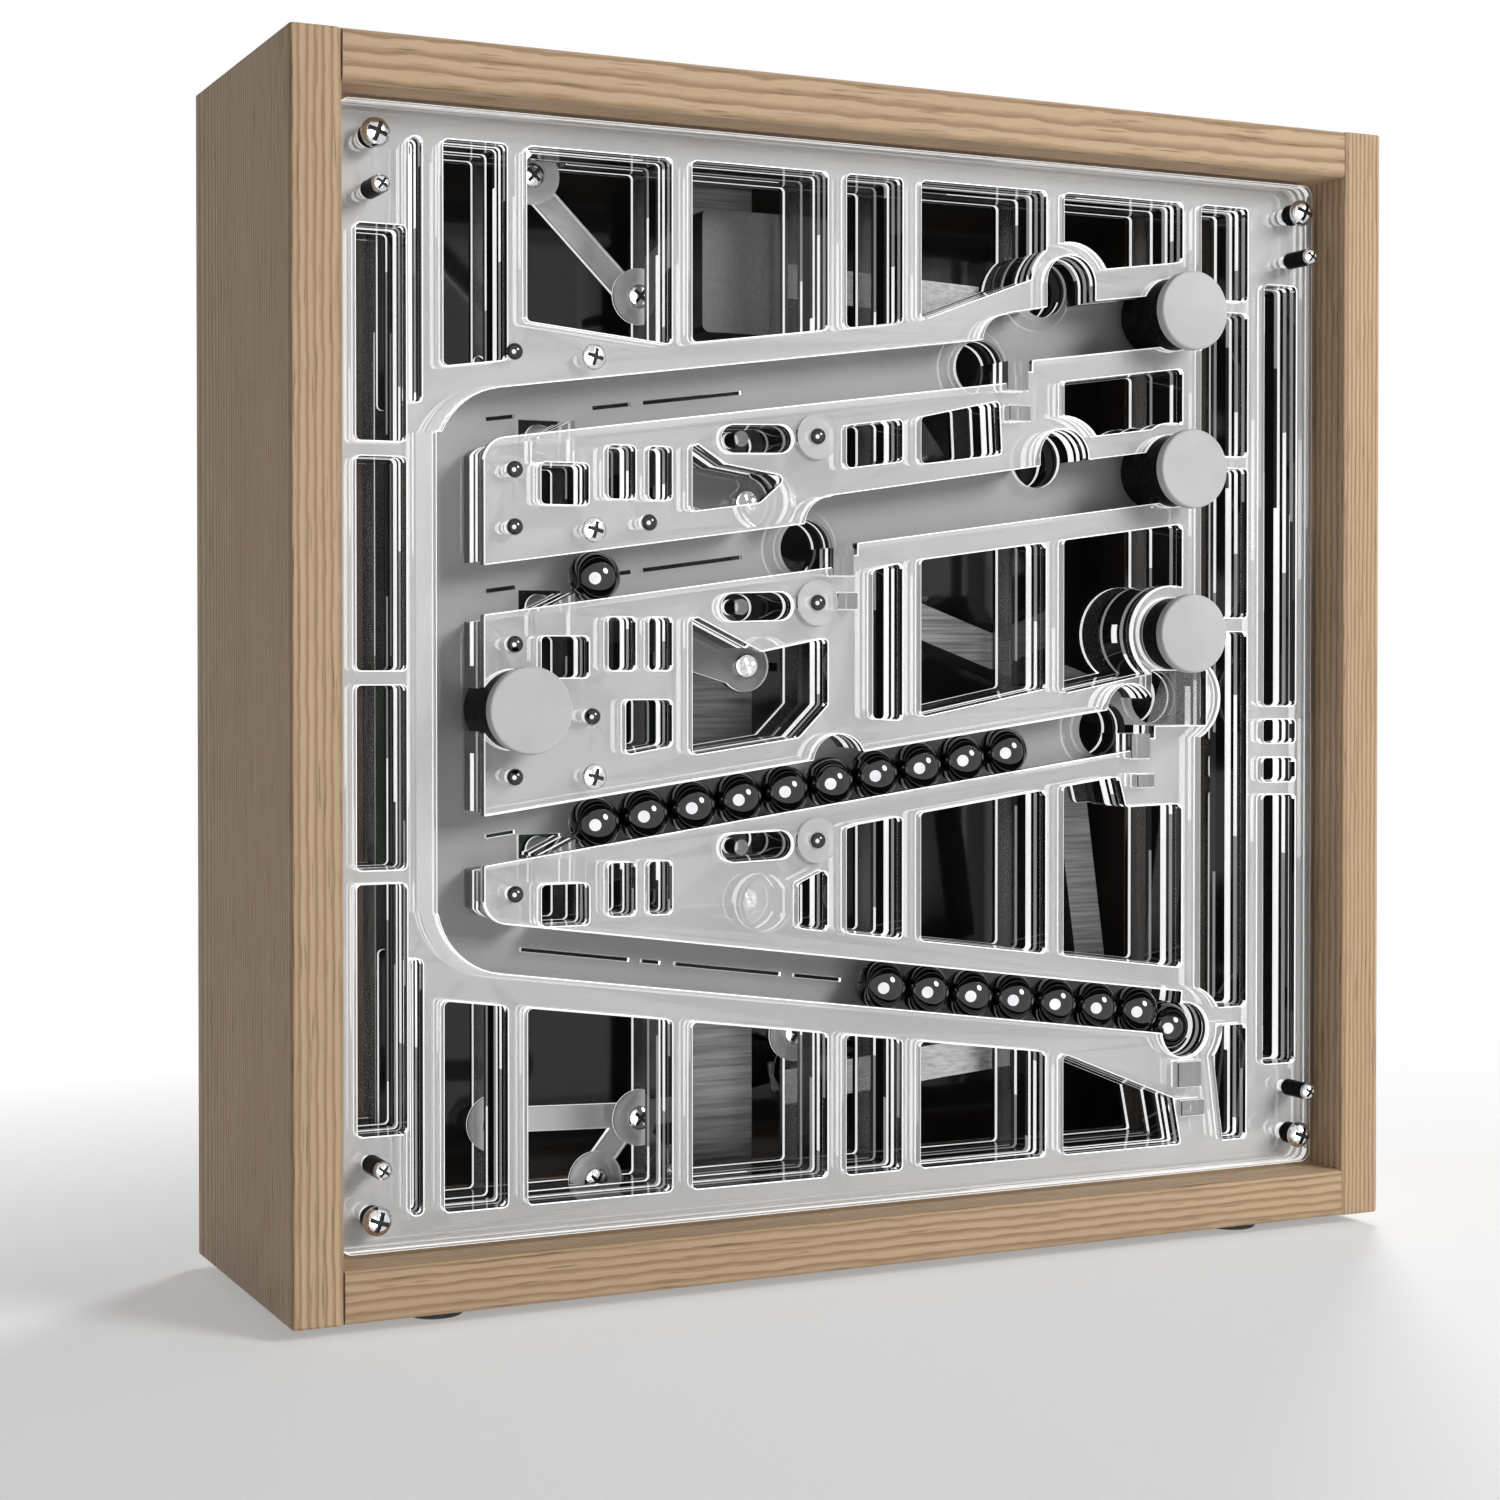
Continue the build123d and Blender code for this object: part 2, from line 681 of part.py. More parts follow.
# Battens up the case's sides: the front pair takes the sheets' screws, the rear pair the back's
panel_back = case_depth - back_inset
panel_front = panel_back - back_thickness
batten_x = half_width - board - batten_width / 2
with BuildPart() as case_battens:
    for front, back in ((rear_back, rear_back + batten_depth), (panel_front - batten_depth, panel_front)):
        with Locations((batten_x, (front + back) / 2 - half_depth, case_middle_z),
                       (-batten_x, (front + back) / 2 - half_depth, case_middle_z)):
            Box(batten_width, back - front, inner_height - 2 * batten_gap)
    with BuildSketch(face(rear_back + screw_grip)):
        with Locations(*corner_points):
            Circle(corner_shank)
        with Locations(*standoff_points):
            Circle(standoff_shank)
    extrude(amount=screw_grip, mode=Mode.SUBTRACT)
    with BuildSketch(face(panel_front)):
        with Locations(*back_screw_points()):
            Circle(back_screw_radius / 2)
    extrude(amount=-1, mode=Mode.SUBTRACT)
    with BuildSketch(face(panel_front)):
        with Locations(*back_screw_points()):
            Circle(back_screw_radius / 2)
    extrude(amount=screw_grip, mode=Mode.SUBTRACT)
save(case_battens.part, "case_battens")

with BuildPart() as case_back_panel:
    with Locations((0, (panel_front + panel_back) / 2 - half_depth, case_middle_z)):
        Box(inner_width - 2 * back_gap, back_thickness, inner_height - 2 * back_gap)
    with BuildSketch(face(panel_back)):
        with Locations(*back_screw_points()):
            Circle(back_screw_radius / 2)
    extrude(amount=back_thickness, mode=Mode.SUBTRACT)
save(case_back_panel.part, "case_back_panel")


# ================================================================ screws, pins and washers
def headed(points, head, shank, head_face, head_back, tip, crossed):
    """Round-headed fasteners from the front, with a cross in the head where asked."""
    with BuildPart() as made:
        with BuildSketch(face(tip)):
            with Locations(*points):
                Circle(shank)
        extrude(amount=tip - head_back)
        with BuildSketch(face(head_back)):
            with Locations(*points):
                Circle(head)
        extrude(amount=head_back - head_face)
        rims = made.faces().filter_by(Axis.Y).sort_by(Axis.Y)[:len(points)].edges()
        fillet(rims, 0.45 * min(head, head_back - head_face))
        if crossed:
            with BuildSketch(face(head_face + cross_slot)):
                with Locations(*points):
                    Rectangle(1.2 * head, 0.24 * head, rotation=20)
                    Rectangle(0.24 * head, 1.2 * head, rotation=20)
            extrude(amount=2 * cross_slot, mode=Mode.SUBTRACT)
    return made.part


def back_headed(points):
    """Screws put in from behind, through the back panel."""
    with BuildPart() as made:
        with BuildSketch(face(panel_back)):
            with Locations(*points):
                Circle(back_screw_radius)
        extrude(amount=-back_screw_stand)
        with BuildSketch(face(panel_back)):
            with Locations(*points):
                Circle(back_screw_radius / 2)
        extrude(amount=back_thickness + screw_grip)
    return made.part


save(back_headed(back_screw_points()), "back_panel_screws")

head_back = corner_head_face + corner_head_length
save(headed(corner_points, corner_head, corner_shank, corner_head_face, head_back,
            rear_back + screw_grip, True), "corner_screws")
standoff_back = standoff_face + standoff_head_length
save(headed(standoff_points, standoff_head, standoff_shank, standoff_face, standoff_back,
            rear_back + screw_grip, True), "standoff_screws")
save(headed(pin_points, pin_head, pin_shank, recess - pin_head_stand, recess, middle_back, False),
     "stack_pins")
island_screws = headed(island_screw_points, island_head, island_shank, recess - island_head_stand, recess,
                       middle_back, True)
disc_face = spacer_back - washer_thickness
brace_screws = headed(brace_points, island_head, island_shank, disc_face - island_head_stand, disc_face,
                      rear_back + brace_thickness, True)
with BuildPart() as plate_screws:
    add([island_screws, brace_screws])
save(plate_screws.part, "plate_screws")
washer_face = recess - washer_thickness
save(headed(washer_points, pin_head, island_shank, washer_face - pin_head_stand, washer_face,
            middle_back, False), "washer_pins")

with BuildPart() as screw_sleeves:
    for points, shank, front in ((corner_points, corner_shank, head_back),
                                 (standoff_points, standoff_shank, standoff_back)):
        with BuildSketch(face(recess)):
            with Locations(*points):
                Circle(shank + sleeve_wall)
                Circle(shank, mode=Mode.SUBTRACT)
        extrude(amount=recess - front)
save(screw_sleeves.part, "screw_sleeves")

with BuildPart() as island_washers:
    with BuildSketch(face(recess)):
        with Locations(*washer_points):
            Circle(washer_radius)
            Circle(island_shank, mode=Mode.SUBTRACT)
    extrude(amount=washer_thickness)
save(island_washers.part, "island_washers")

# ================================================================ buttons
button_names = ("minutes", "tens", "hours", "reset")
cap_back = button_face + button_cap
plunger_back = track_back - button_travel - plunger_end_gap
spring_seat = plunger_back - spring_bore_depth
snap_front = middle_back + button_clearance

for name, centre in zip(button_names, buttons):
    with BuildPart() as button_cap_part:
        with BuildSketch(face(cap_back)):
            with Locations(centre):
                Circle(button_radius)
        extrude(amount=button_cap)
        fillet(button_cap_part.faces().sort_by(Axis.Y)[0].edges(), button_cap / 4)
    save(button_cap_part.part, f"{name}_button_cap")

    with BuildPart() as plunger:
        with BuildSketch(face(plunger_back)):
            with Locations(centre):
                Circle(plunger_radius)
        extrude(amount=plunger_back - cap_back)
        with BuildSketch(face(plunger_back)):
            with Locations(centre):
                Circle(spring_bore)
        extrude(amount=spring_bore_depth, mode=Mode.SUBTRACT)
        with BuildSketch(face(snap_front + snap_length)):
            with Locations(centre):
                Circle(stem_radius)
        extrude(amount=snap_front + snap_length - spring_seat)
        with BuildSketch(face(snap_front + snap_length)):
            with Locations(centre):
                Circle(snap_radius)
        extrude(amount=snap_length)
    save(plunger.part, f"{name}_button_plunger")

    coil_length = track_back - spring_seat - spring_wire - 4 * button_clearance
    start = at(centre[0], spring_seat + spring_wire / 2 + 2 * button_clearance, centre[1])
    with BuildPart() as spring:
        with BuildLine() as coil:
            Helix(coil_length / spring_turns, coil_length, spring_radius, center=start, direction=(0, 1, 0))
        with BuildSketch(Plane(coil.line @ 0, z_dir=coil.line % 0)):
            Circle(spring_wire / 2)
        sweep()
    save(spring.part, f"{name}_button_spring")

# ================================================================ gate levers
lever_front = middle_back + lever_gap
lever_back = lever_front + lever
wedge_front = front_back + lever_gap
pin_front = recess + lever_gap

for name, z in tracks.items():
    pivot = (first_x + pivot_dx, z + pivot_dz)
    pin = (first_x + pin_dx, z + pin_dz)
    floor = wedge_floor(z)
    tip = (wedge_right - wedge_length / 2, floor + tip_rise)
    with BuildPart() as gate:
        with BuildSketch(face(lever_back)):
            for end, end_radius in ((tip, lever_arm), (pin, lever_arm)):
                with BuildSketch(Plane.XY, mode=Mode.PRIVATE) as arm:
                    with Locations(pivot):
                        Circle(lever_hub - lever_taper)
                    with Locations(end):
                        Circle(end_radius)
                    make_hull()
                add(arm.sketch)
            with Locations(pivot):
                Circle(lever_hub)
                Circle(pivot_radius + pivot_clearance, mode=Mode.SUBTRACT)
        extrude(amount=lever)
        with BuildSketch(face(lever_back)):
            with BuildLine():
                Polyline((wedge_right, floor - wedge_root), (wedge_right, floor + wedge_height),
                         (wedge_right - wedge_length, floor + wedge_toe),
                         (wedge_right - wedge_length, floor - wedge_root), close=True)
            make_face()
        extrude(amount=lever_back - wedge_front)
        with BuildSketch(face(lever_back)):
            with Locations(pin):
                Circle(pin_radius)
        extrude(amount=lever_back - pin_front)
    save(gate.part, f"{name}_gate_lever")

save(headed(pivot_points, lever_arm, pivot_radius, middle_back - pivot_head, lever_front - pivot_clearance,
            rear_back, True), "gate_pivot_screws")


# ================================================================ balls
def balls(name, centres):
    with BuildPart() as made:
        with Locations(*centres):
            Sphere(ball_radius)
    save(made.part, name)


step = ball_pitch * along
balls("tens_ball", [at(first_x, ball_depth, tens_z)])
balls("hour_balls", [at(first_x + number * step, ball_depth, ball_line(hours_z, first_x + number * step))
                     for number in range(hour_ball_count)])
balls("queue_balls", [at(queue_x + number * step, ball_depth, queue_line(queue_x + number * step))
                      for number in range(queue_ball_count)])
balls("exit_ball", [at(queue_exit[0], exit_ball_depth, queue_exit[1])])


# ================================================================ troughs behind the sheets
def trough(name, start, end, openings, stopped=True):
    """An open channel for balls, along their middle from start to end, with a stop if asked."""
    run = end - start
    heading = run.normalized()
    across = Vector(0, 0, 1).cross(heading).normalized()
    begin = start - heading * (trough_half + trough_gap)
    length = run.length + 2 * trough_half + (trough_gap if stopped else -trough_gap)
    outer = trough_half + trough_wall
    depth = ball_radius + seat
    with BuildPart() as made:
        with BuildSketch(Plane(begin, x_dir=across, z_dir=heading)):
            Polygon((-outer, -depth - trough_wall), (outer, -depth - trough_wall), (outer, trough_lip),
                    (trough_half, trough_lip), (trough_half, -depth), (-trough_half, -depth),
                    (-trough_half, trough_lip), (-outer, trough_lip), align=None)
        extrude(amount=length)
        if stopped:
            with BuildSketch(Plane(begin + heading * length, x_dir=across, z_dir=heading)):
                Polygon((-outer, -depth - trough_wall), (outer, -depth - trough_wall), (outer, trough_lip),
                        (-outer, trough_lip), align=None)
            extrude(amount=trough_wall)
        split(bisect_by=face(rear_back + trough_gap), keep=Keep.BOTTOM)
        for centre in openings:
            with BuildSketch(face(trough_depth)):
                with Locations(centre):
                    Circle(tunnel_radius)
                    with Locations((0, tunnel_radius)):
                        Rectangle(2 * tunnel_radius, 2 * tunnel_radius)
            extrude(amount=trough_depth - rear_back, mode=Mode.SUBTRACT)
    save(made.part, name)


def behind(centre):
    """Where a ball's middle is once it has rolled through a tunnel into a trough."""
    return at(centre[0], trough_depth, centre[1])


trough("minutes_to_tens_trough", behind(minutes_drop), behind(tens_entry), (minutes_drop, tens_entry))
trough("tens_to_hours_trough", behind(tens_drop), behind(hours_entry), (tens_drop, hours_entry))
trough("hours_drop_trough", at(hours_drop[0], trough_depth, hours_drop[1] - drop_start),
       at(hours_drop[0] + drop_run, trough_depth, queue_exit[1] + drop_end), (hours_drop,))
return_end = at(lift_load_x, lift_depth, queue_exit[1] - slope * (queue_exit[0] - lift_load_x))
trough("return_trough", behind(queue_exit), return_end, (queue_exit,), stopped=False)
top_load_x = lift_load_x + top_clearance
top_start = at(top_load_x, lift_depth, minutes_entry[1] + top_slope * (minutes_entry[0] - top_load_x))
trough("top_trough", top_start, behind(minutes_entry), (minutes_entry,))

heading = (behind(queue_exit) - return_end).normalized()
balls("trough_balls", [return_end + heading * (number * ball_pitch) for number in range(trough_ball_count)])

# ================================================================ belt lift
belt_inner = pulley_radius + belt_gap
belt_outer = belt_inner + belt_thickness
belt_front = lift_depth - belt_width / 2
belt_back = lift_depth + belt_width / 2
frame_back = lift_depth - carrier_width / 2 - frame_gap
frame_front = frame_back - frame_plate
lift_ends = ((lift_x, lift_bottom), (lift_x, lift_top))
lift_middle = ((lift_x, (lift_bottom + lift_top) / 2))

with BuildPart() as lift_belt:
    with BuildSketch(face(belt_back)):
        with Locations(lift_middle):
            SlotCenterToCenter(lift_top - lift_bottom, 2 * belt_outer, rotation=90)
            SlotCenterToCenter(lift_top - lift_bottom, 2 * belt_inner, rotation=90, mode=Mode.SUBTRACT)
    extrude(amount=belt_width)
save(lift_belt.part, "lift_belt")

with BuildPart() as lower_pulley:
    with BuildSketch(face(belt_back)):
        with Locations(lift_ends[0]):
            Circle(pulley_radius)
            Circle(axle_radius + axle_clearance, mode=Mode.SUBTRACT)
    extrude(amount=belt_width)
save(lower_pulley.part, "lower_pulley")

with BuildPart() as upper_pulley:
    with BuildSketch(face(belt_back)):
        with Locations(lift_ends[1]):
            Circle(pulley_radius)
    extrude(amount=belt_width)
    with BuildSketch(face(belt_front)):
        with Locations(lift_ends[1]):
            Circle(axle_radius)
    extrude(amount=belt_front - motor_front - axle_grip)
save(upper_pulley.part, "upper_pulley")

floor_z = board - case_height / 2 + datum_z
ceiling_z = case_height / 2 - board + datum_z
with BuildPart() as lift_frame:
    with BuildSketch(face(frame_back)):
        with Locations((lift_x, (floor_z + ceiling_z) / 2)):
            Rectangle(frame_width, ceiling_z - floor_z)
        with Locations(lift_ends[1]):
            Circle(axle_radius + axle_clearance, mode=Mode.SUBTRACT)
    extrude(amount=frame_plate)
    for low, high in ((floor_z, floor_z + frame_plate), (ceiling_z - frame_plate, ceiling_z)):
        with BuildSketch(face(frame_back + frame_foot)):
            with Locations((lift_x, (low + high) / 2)):
                Rectangle(frame_width, high - low)
        extrude(amount=frame_foot)
    with BuildSketch(face(belt_back + frame_gap)):
        with Locations(lift_ends[0]):
            Circle(axle_radius)
    extrude(amount=belt_back + frame_gap - frame_back)
save(lift_frame.part, "lift_frame")

with BuildPart() as lift_motor:
    with BuildSketch(face(frame_front)):
        with Locations((lift_x, lift_top - motor_drop)):
            RectangleRounded(motor_width, motor_height, motor_corner)
    extrude(amount=frame_front - motor_front)
    with BuildSketch(face(frame_front)):
        with Locations(lift_ends[1]):
            Circle(axle_radius + axle_clearance)
    extrude(amount=frame_front - motor_front - axle_grip + axle_clearance, mode=Mode.SUBTRACT)
save(lift_motor.part, "lift_motor")


def carriers(name, side, levels):
    """Scoops on one run of the belt; side is +1 on the rising run, -1 on the falling one."""
    near = lift_x + side * (belt_outer + belt_gap)
    far = near + side * carrier_reach
    with BuildPart() as made:
        with BuildSketch(face(lift_depth + carrier_width / 2)):
            for level in levels:
                Polygon((near, level), (far, level), (far, level + side * carrier_lip),
                        (far - side * carrier_floor, level + side * carrier_lip),
                        (far - side * carrier_floor, level + side * carrier_floor),
                        (near + side * carrier_floor, level + side * carrier_floor),
                        (near + side * carrier_floor, level + side * carrier_back),
                        (near, level + side * carrier_back), align=None)
        extrude(amount=carrier_width)
    save(made.part, name)


carriers("rising_carriers", 1, [carrier_first + number * carrier_pitch for number in range(carrier_count)])
carriers("falling_carriers", -1, [falling_first + number * carrier_pitch for number in range(carrier_count)])
lift_ball_x = lift_x + belt_outer + belt_gap + carrier_floor + ball_radius + seat
lift_ball_z = carrier_first + carrier_pitch + carrier_floor + ball_radius + seat
balls("lift_ball", [at(lift_ball_x, lift_depth, lift_ball_z)])

# ================================================================ braces and control board
with BuildPart() as brace_bars:
    with BuildSketch(face(rear_back + brace_thickness)):
        for ends in braces:
            add(stroke_faces(ends, brace_width))
            with Locations(*ends):
                Circle(brace_width / 2)
        with Locations(*brace_points):
            Circle(island_shank, mode=Mode.SUBTRACT)
    extrude(amount=brace_thickness)
save(brace_bars.part, "brace_bars")

with BuildPart() as brace_discs:
    with BuildSketch(face(spacer_back)):
        with Locations(*brace_points):
            Circle(disc_radius)
            Circle(island_shank, mode=Mode.SUBTRACT)
    extrude(amount=washer_thickness)
save(brace_discs.part, "brace_discs")

with BuildPart() as control_board:
    with BuildSketch(face(panel_front - board_post)):
        with Locations((board_x, board_z)):
            Rectangle(board_width, board_height)
    extrude(amount=board_sheet)
    with BuildSketch(face(panel_front)):
        with Locations((board_x, board_z)):
            with GridLocations(board_width - 2 * post_inset, board_height - 2 * post_inset, 2, 2):
                Circle(standoff_head)
    extrude(amount=board_post)
save(control_board.part, "control_board")
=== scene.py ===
# Rolling ball clock: a square wooden case round a stack of clear sheets with ball tracks.
# The sections follow the clock as it is put together, from its case to the balls.
import math

import bmesh
import bpy
from mathutils import Euler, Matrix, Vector


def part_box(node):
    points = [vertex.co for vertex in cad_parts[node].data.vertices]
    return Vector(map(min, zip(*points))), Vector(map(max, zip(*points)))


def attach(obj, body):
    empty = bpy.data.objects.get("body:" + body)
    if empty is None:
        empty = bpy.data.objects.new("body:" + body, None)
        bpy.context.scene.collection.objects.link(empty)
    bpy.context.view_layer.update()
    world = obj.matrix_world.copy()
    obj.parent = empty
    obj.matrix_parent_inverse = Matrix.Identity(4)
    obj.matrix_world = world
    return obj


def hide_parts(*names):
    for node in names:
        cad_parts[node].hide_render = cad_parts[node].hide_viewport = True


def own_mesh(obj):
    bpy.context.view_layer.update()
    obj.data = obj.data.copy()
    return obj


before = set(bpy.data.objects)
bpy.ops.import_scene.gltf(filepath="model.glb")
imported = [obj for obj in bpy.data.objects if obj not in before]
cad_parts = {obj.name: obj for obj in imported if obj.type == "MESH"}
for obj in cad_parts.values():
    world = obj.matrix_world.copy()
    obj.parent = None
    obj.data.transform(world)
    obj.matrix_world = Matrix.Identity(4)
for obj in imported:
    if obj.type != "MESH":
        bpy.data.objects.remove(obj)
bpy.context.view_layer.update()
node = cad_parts
MM = 0.001


# ---------------------------------------------------------------- the wooden case
# Four boards of pale ash, mitre-free: the sides run full height and hold the level boards.
# The grain runs along each board, its growth rings show as fine lines on the front edges,
# and the surface is oiled, so the open pores stay dark.
class Wire:
    """One output in a finish's nodes. Sums and products of wires add their Math nodes."""

    def __init__(self, tree, socket):
        self.tree, self.socket = tree, socket

    def node(self, kind, settings, values, out=0):
        """Any node: its type, its settings, and the values or wires of its sockets."""
        made = self.tree.nodes.new(kind)
        for name, value in settings.items():
            if name == "stops":
                stops = made.color_ramp.elements
                while len(stops) < len(value):
                    stops.new(1.0)
                for stop, (position, colour) in zip(stops, value):
                    stop.position, stop.color = position, (*colour, 1)
            elif name == "interpolation":
                made.color_ramp.interpolation = value
            else:
                setattr(made, name, value)
        for key, value in (values.items() if isinstance(values, dict) else enumerate(values)):
            if isinstance(value, Wire):
                self.tree.links.new(value.socket, made.inputs[key])
            else:
                made.inputs[key].default_value = value
        return Wire(self.tree, made.outputs[out])

    def maths(self, operation, *others):
        return self.node("ShaderNodeMath", {"operation": operation}, [self, *others])

    def __add__(self, other):
        return self.maths("ADD", other)

    def __mul__(self, other):
        return self.maths("MULTIPLY", other)

    def __sub__(self, other):
        return self.maths("SUBTRACT", other)

    def __rsub__(self, other):
        return self.maths("MULTIPLY", -1.0) + other

    def __truediv__(self, other):
        return self.maths("DIVIDE", other)

    def __gt__(self, other):
        return self.maths("GREATER_THAN", other)

    def __lt__(self, other):
        return self.maths("LESS_THAN", other)

    __radd__, __rmul__ = __add__, __mul__

    def clamp(self):
        return self.node("ShaderNodeClamp", {}, [self])

    def part(self, axis):
        return self.node("ShaderNodeSeparateXYZ", {}, [self], "XYZ".index(axis))

    def stretched(self, x, y, z):
        """This place with its three directions multiplied."""
        return self.node("ShaderNodeVectorMath", {"operation": "MULTIPLY"}, [self, (x, y, z)])

    def noise(self, scale, detail=3.0, roughness=0.5):
        return self.node("ShaderNodeTexNoise", {}, {"Vector": self, "Scale": scale, "Detail": detail,
                                                    "Roughness": roughness})

    def ramp(self, *stops, interpolation="LINEAR"):
        return self.node("ShaderNodeValToRGB", {"interpolation": interpolation, "stops": stops}, [self])

    def mix(self, low, high):
        """Between two colours by this share."""
        first, second = (colour if isinstance(colour, Wire) else (*colour, 1) for colour in (low, high))
        return self.node("ShaderNodeMix", {"data_type": "RGBA"}, {0: self, 6: first, 7: second}, 2)


class Finish:
    """A material being written: its shader, and the place on the piece that it starts from."""

    def __init__(self, name, **sockets):
        self.material = bpy.data.materials.new(name)
        self.material.use_nodes = True
        self.tree = self.material.node_tree
        self.shader = self.tree.nodes["Principled BSDF"]
        self.place = Wire(self.tree, self.tree.nodes.new("ShaderNodeTexCoord").outputs["Object"])
        for socket, value in sockets.items():
            self.shader.inputs[socket.replace("_", " ")].default_value = value

    def feed(self, **wires):
        for socket, wire in wires.items():
            self.tree.links.new(wire.socket, self.shader.inputs[socket.replace("_", " ")])

    def relief(self, height, distance, strength=1.0):
        values = {"Height": height, "Distance": distance, "Strength": strength}
        self.feed(Normal=self.place.node("ShaderNodeBump", {}, values))

    def on(self, *names):
        """Gives this finish to CAD nodes as they stand."""
        for name in names:
            slots = node[name].material_slots
            if not slots:
                node[name].data.materials.append(self.material)
            for each in slots:
                each.material = self.material


rings_per_metre = 860.0
ring_sway, ring_tremble = 2.2, 0.7
early_dark, early_light, late_brown = (0.53, 0.375, 0.240), (0.66, 0.480, 0.32), (0.24, 0.145, 0.078)
fibre_brown, pore_brown = (0.40, 0.28, 0.165), (0.17, 0.105, 0.055)


def ash(name, along, pith):
    """Oiled ash whose grain runs along one axis, its rings centred on the pith."""
    finish = Finish(name, Specular_IOR_Level=0.12)

    def drawn_out(share):
        """The place with the grain's direction pressed to a share, so that noise runs along it."""
        return finish.place.stretched(*(share if axis == along else 1 for axis in "XYZ"))

    across = drawn_out(0.10)
    sway = across.noise(16.0, 2.0) - 0.5
    tremble = drawn_out(0.35).noise(240.0, 2.0) - 0.5
    sides = [axis for axis in "XYZ" if axis != along]
    legs = [(finish.place.part(axis) - centre) for axis, centre in zip(sides, pith)]
    radius = (legs[0] * legs[0] + legs[1] * legs[1]).maths("SQRT")
    radius = radius + sway * (ring_sway * MM) + tremble * (ring_tremble * MM)
    ring = (radius * rings_per_metre).maths("FRACT")
    late = ring.ramp((0.0, (0.1,) * 3), (0.42, (0.08,) * 3), (0.80, (1, 1, 1)), (0.93, (0.9,) * 3),
                     (1.0, (0.1,) * 3))
    early_wood = across.noise(34.0, 3.0, 0.6).ramp((0.3, early_dark), (0.7, early_light))
    colour = (late * 0.78).mix(early_wood, late_brown)
    pore = ((drawn_out(0.035).noise(1500.0, 2.0, 0.6) - 0.60) * 9.0).clamp()
    fibre = drawn_out(0.02).noise(700.0, 2.0)
    finish.feed(Base_Color=(pore * 0.6).mix((fibre * 0.4).mix(colour, fibre_brown), pore_brown),
                Roughness=0.42 + fibre * 0.2 + pore * 0.2)
    finish.relief(late * 0.5 - pore + fibre * 0.4, 0.00025, 0.5)
    return finish


ash("ash_upright_left", "Z", (-0.215, 0.05)).on("case_side_left")
ash("ash_upright_right", "Z", (0.235, -0.09)).on("case_side_right")
ash("ash_level_top", "X", (0.12, 0.345)).on("case_top")
ash("ash_level_bottom", "X", (-0.14, -0.045)).on("case_bottom")


# ---------------------------------------------------------------- the inside and back of the case
# Pine battens glued up the sides, a black stained hardboard back held by screws, and four
# moulded rubber feet.
battens = Finish("sawn_pine", Specular_IOR_Level=0.3)
saw = battens.place.stretched(1, 1, 0.08).noise(420.0, 3.0)
battens.feed(Base_Color=saw.ramp((0.3, (0.16, 0.10, 0.05)), (0.7, (0.33, 0.22, 0.12))),
             Roughness=0.6 + saw * 0.2)
battens.relief(saw, 0.0002, 0.6)
battens.on("case_battens")

backing = Finish("black_hardboard", Specular_IOR_Level=0.4)
fleck = backing.place.noise(900.0, 4.0, 0.65)
cloud = backing.place.noise(25.0, 3.0)
behind = backing.place.node("ShaderNodeNewGeometry", {}, {}, "Normal").part("Y") > -0.5  # smooth in front
backing.feed(Base_Color=cloud.ramp((0.3, (0.012, 0.012, 0.013)), (0.7, (0.026, 0.025, 0.024))),
             Roughness=0.06 + fleck * 0.04 + behind * 0.34)
backing.relief(fleck * behind, 0.00012, 0.5)
backing.on("case_back_panel")

rubber = Finish("foot_rubber", Specular_IOR_Level=0.3)
grit = rubber.place.noise(1600.0, 3.0)
rubber.feed(Base_Color=grit.ramp((0.3, (0.016, 0.016, 0.016)), (0.7, (0.034, 0.033, 0.032))),
            Roughness=0.7 + grit * 0.2)
rubber.relief(grit, 0.0001, 0.5)
rubber.on("rubber_feet")


# ---------------------------------------------------------------- the clear sheets
# Cast acrylic cut on a router. The flat faces are painted pale grey for their sheen, and darker on the
# sheets further back as painted shade.
# The cut walls are painted with bright and black lines along the sheet's lamination: these are painted
# reflections, and they also glow.
# The sheets' drawing is in mm from the case's front left bottom corner, without the feet.
half_depth, foot_height, half_width = 43.25, 3.0, 150.1
first_x = 79.5  # where the first ball of a timing track rests
track_z = (209.8, 168.9, 110.3)  # the height of that ball in the minutes, tens and hours track


def near(value, middle, reach):
    """Whether a wire lies within a reach of a middle value."""
    return (value - middle).maths("ABSOLUTE") < reach


def painted_black_reflections(place):
    """Where the walls are painted black as a reflection of something black: round the buttons and in the
    levers' kidney slots.
    """
    push_x, push_z, push_reach_x, push_reach_z = 241.0, 198.0, 12.5, 56.0
    reset_x, reset_z, reset_reach = 57.2, 137.4, 13.04
    kidney_x, kidney_drop, kidney_reach_x, kidney_reach_z = first_x + 40.3, 6.8, 10.5, 4.0
    x, z = place.part("X") / MM + half_width, place.part("Z") / MM - foot_height
    by_push = near(x, push_x, push_reach_x) * near(z, push_z, push_reach_z)
    by_reset = ((x - reset_x) * (x - reset_x) + (z - reset_z) * (z - reset_z)) < reset_reach ** 2
    by_pin = sum(near(z, level - kidney_drop, kidney_reach_z) for level in track_z)
    return (by_push + by_reset + by_pin * near(x, kidney_x, kidney_reach_x)).clamp()


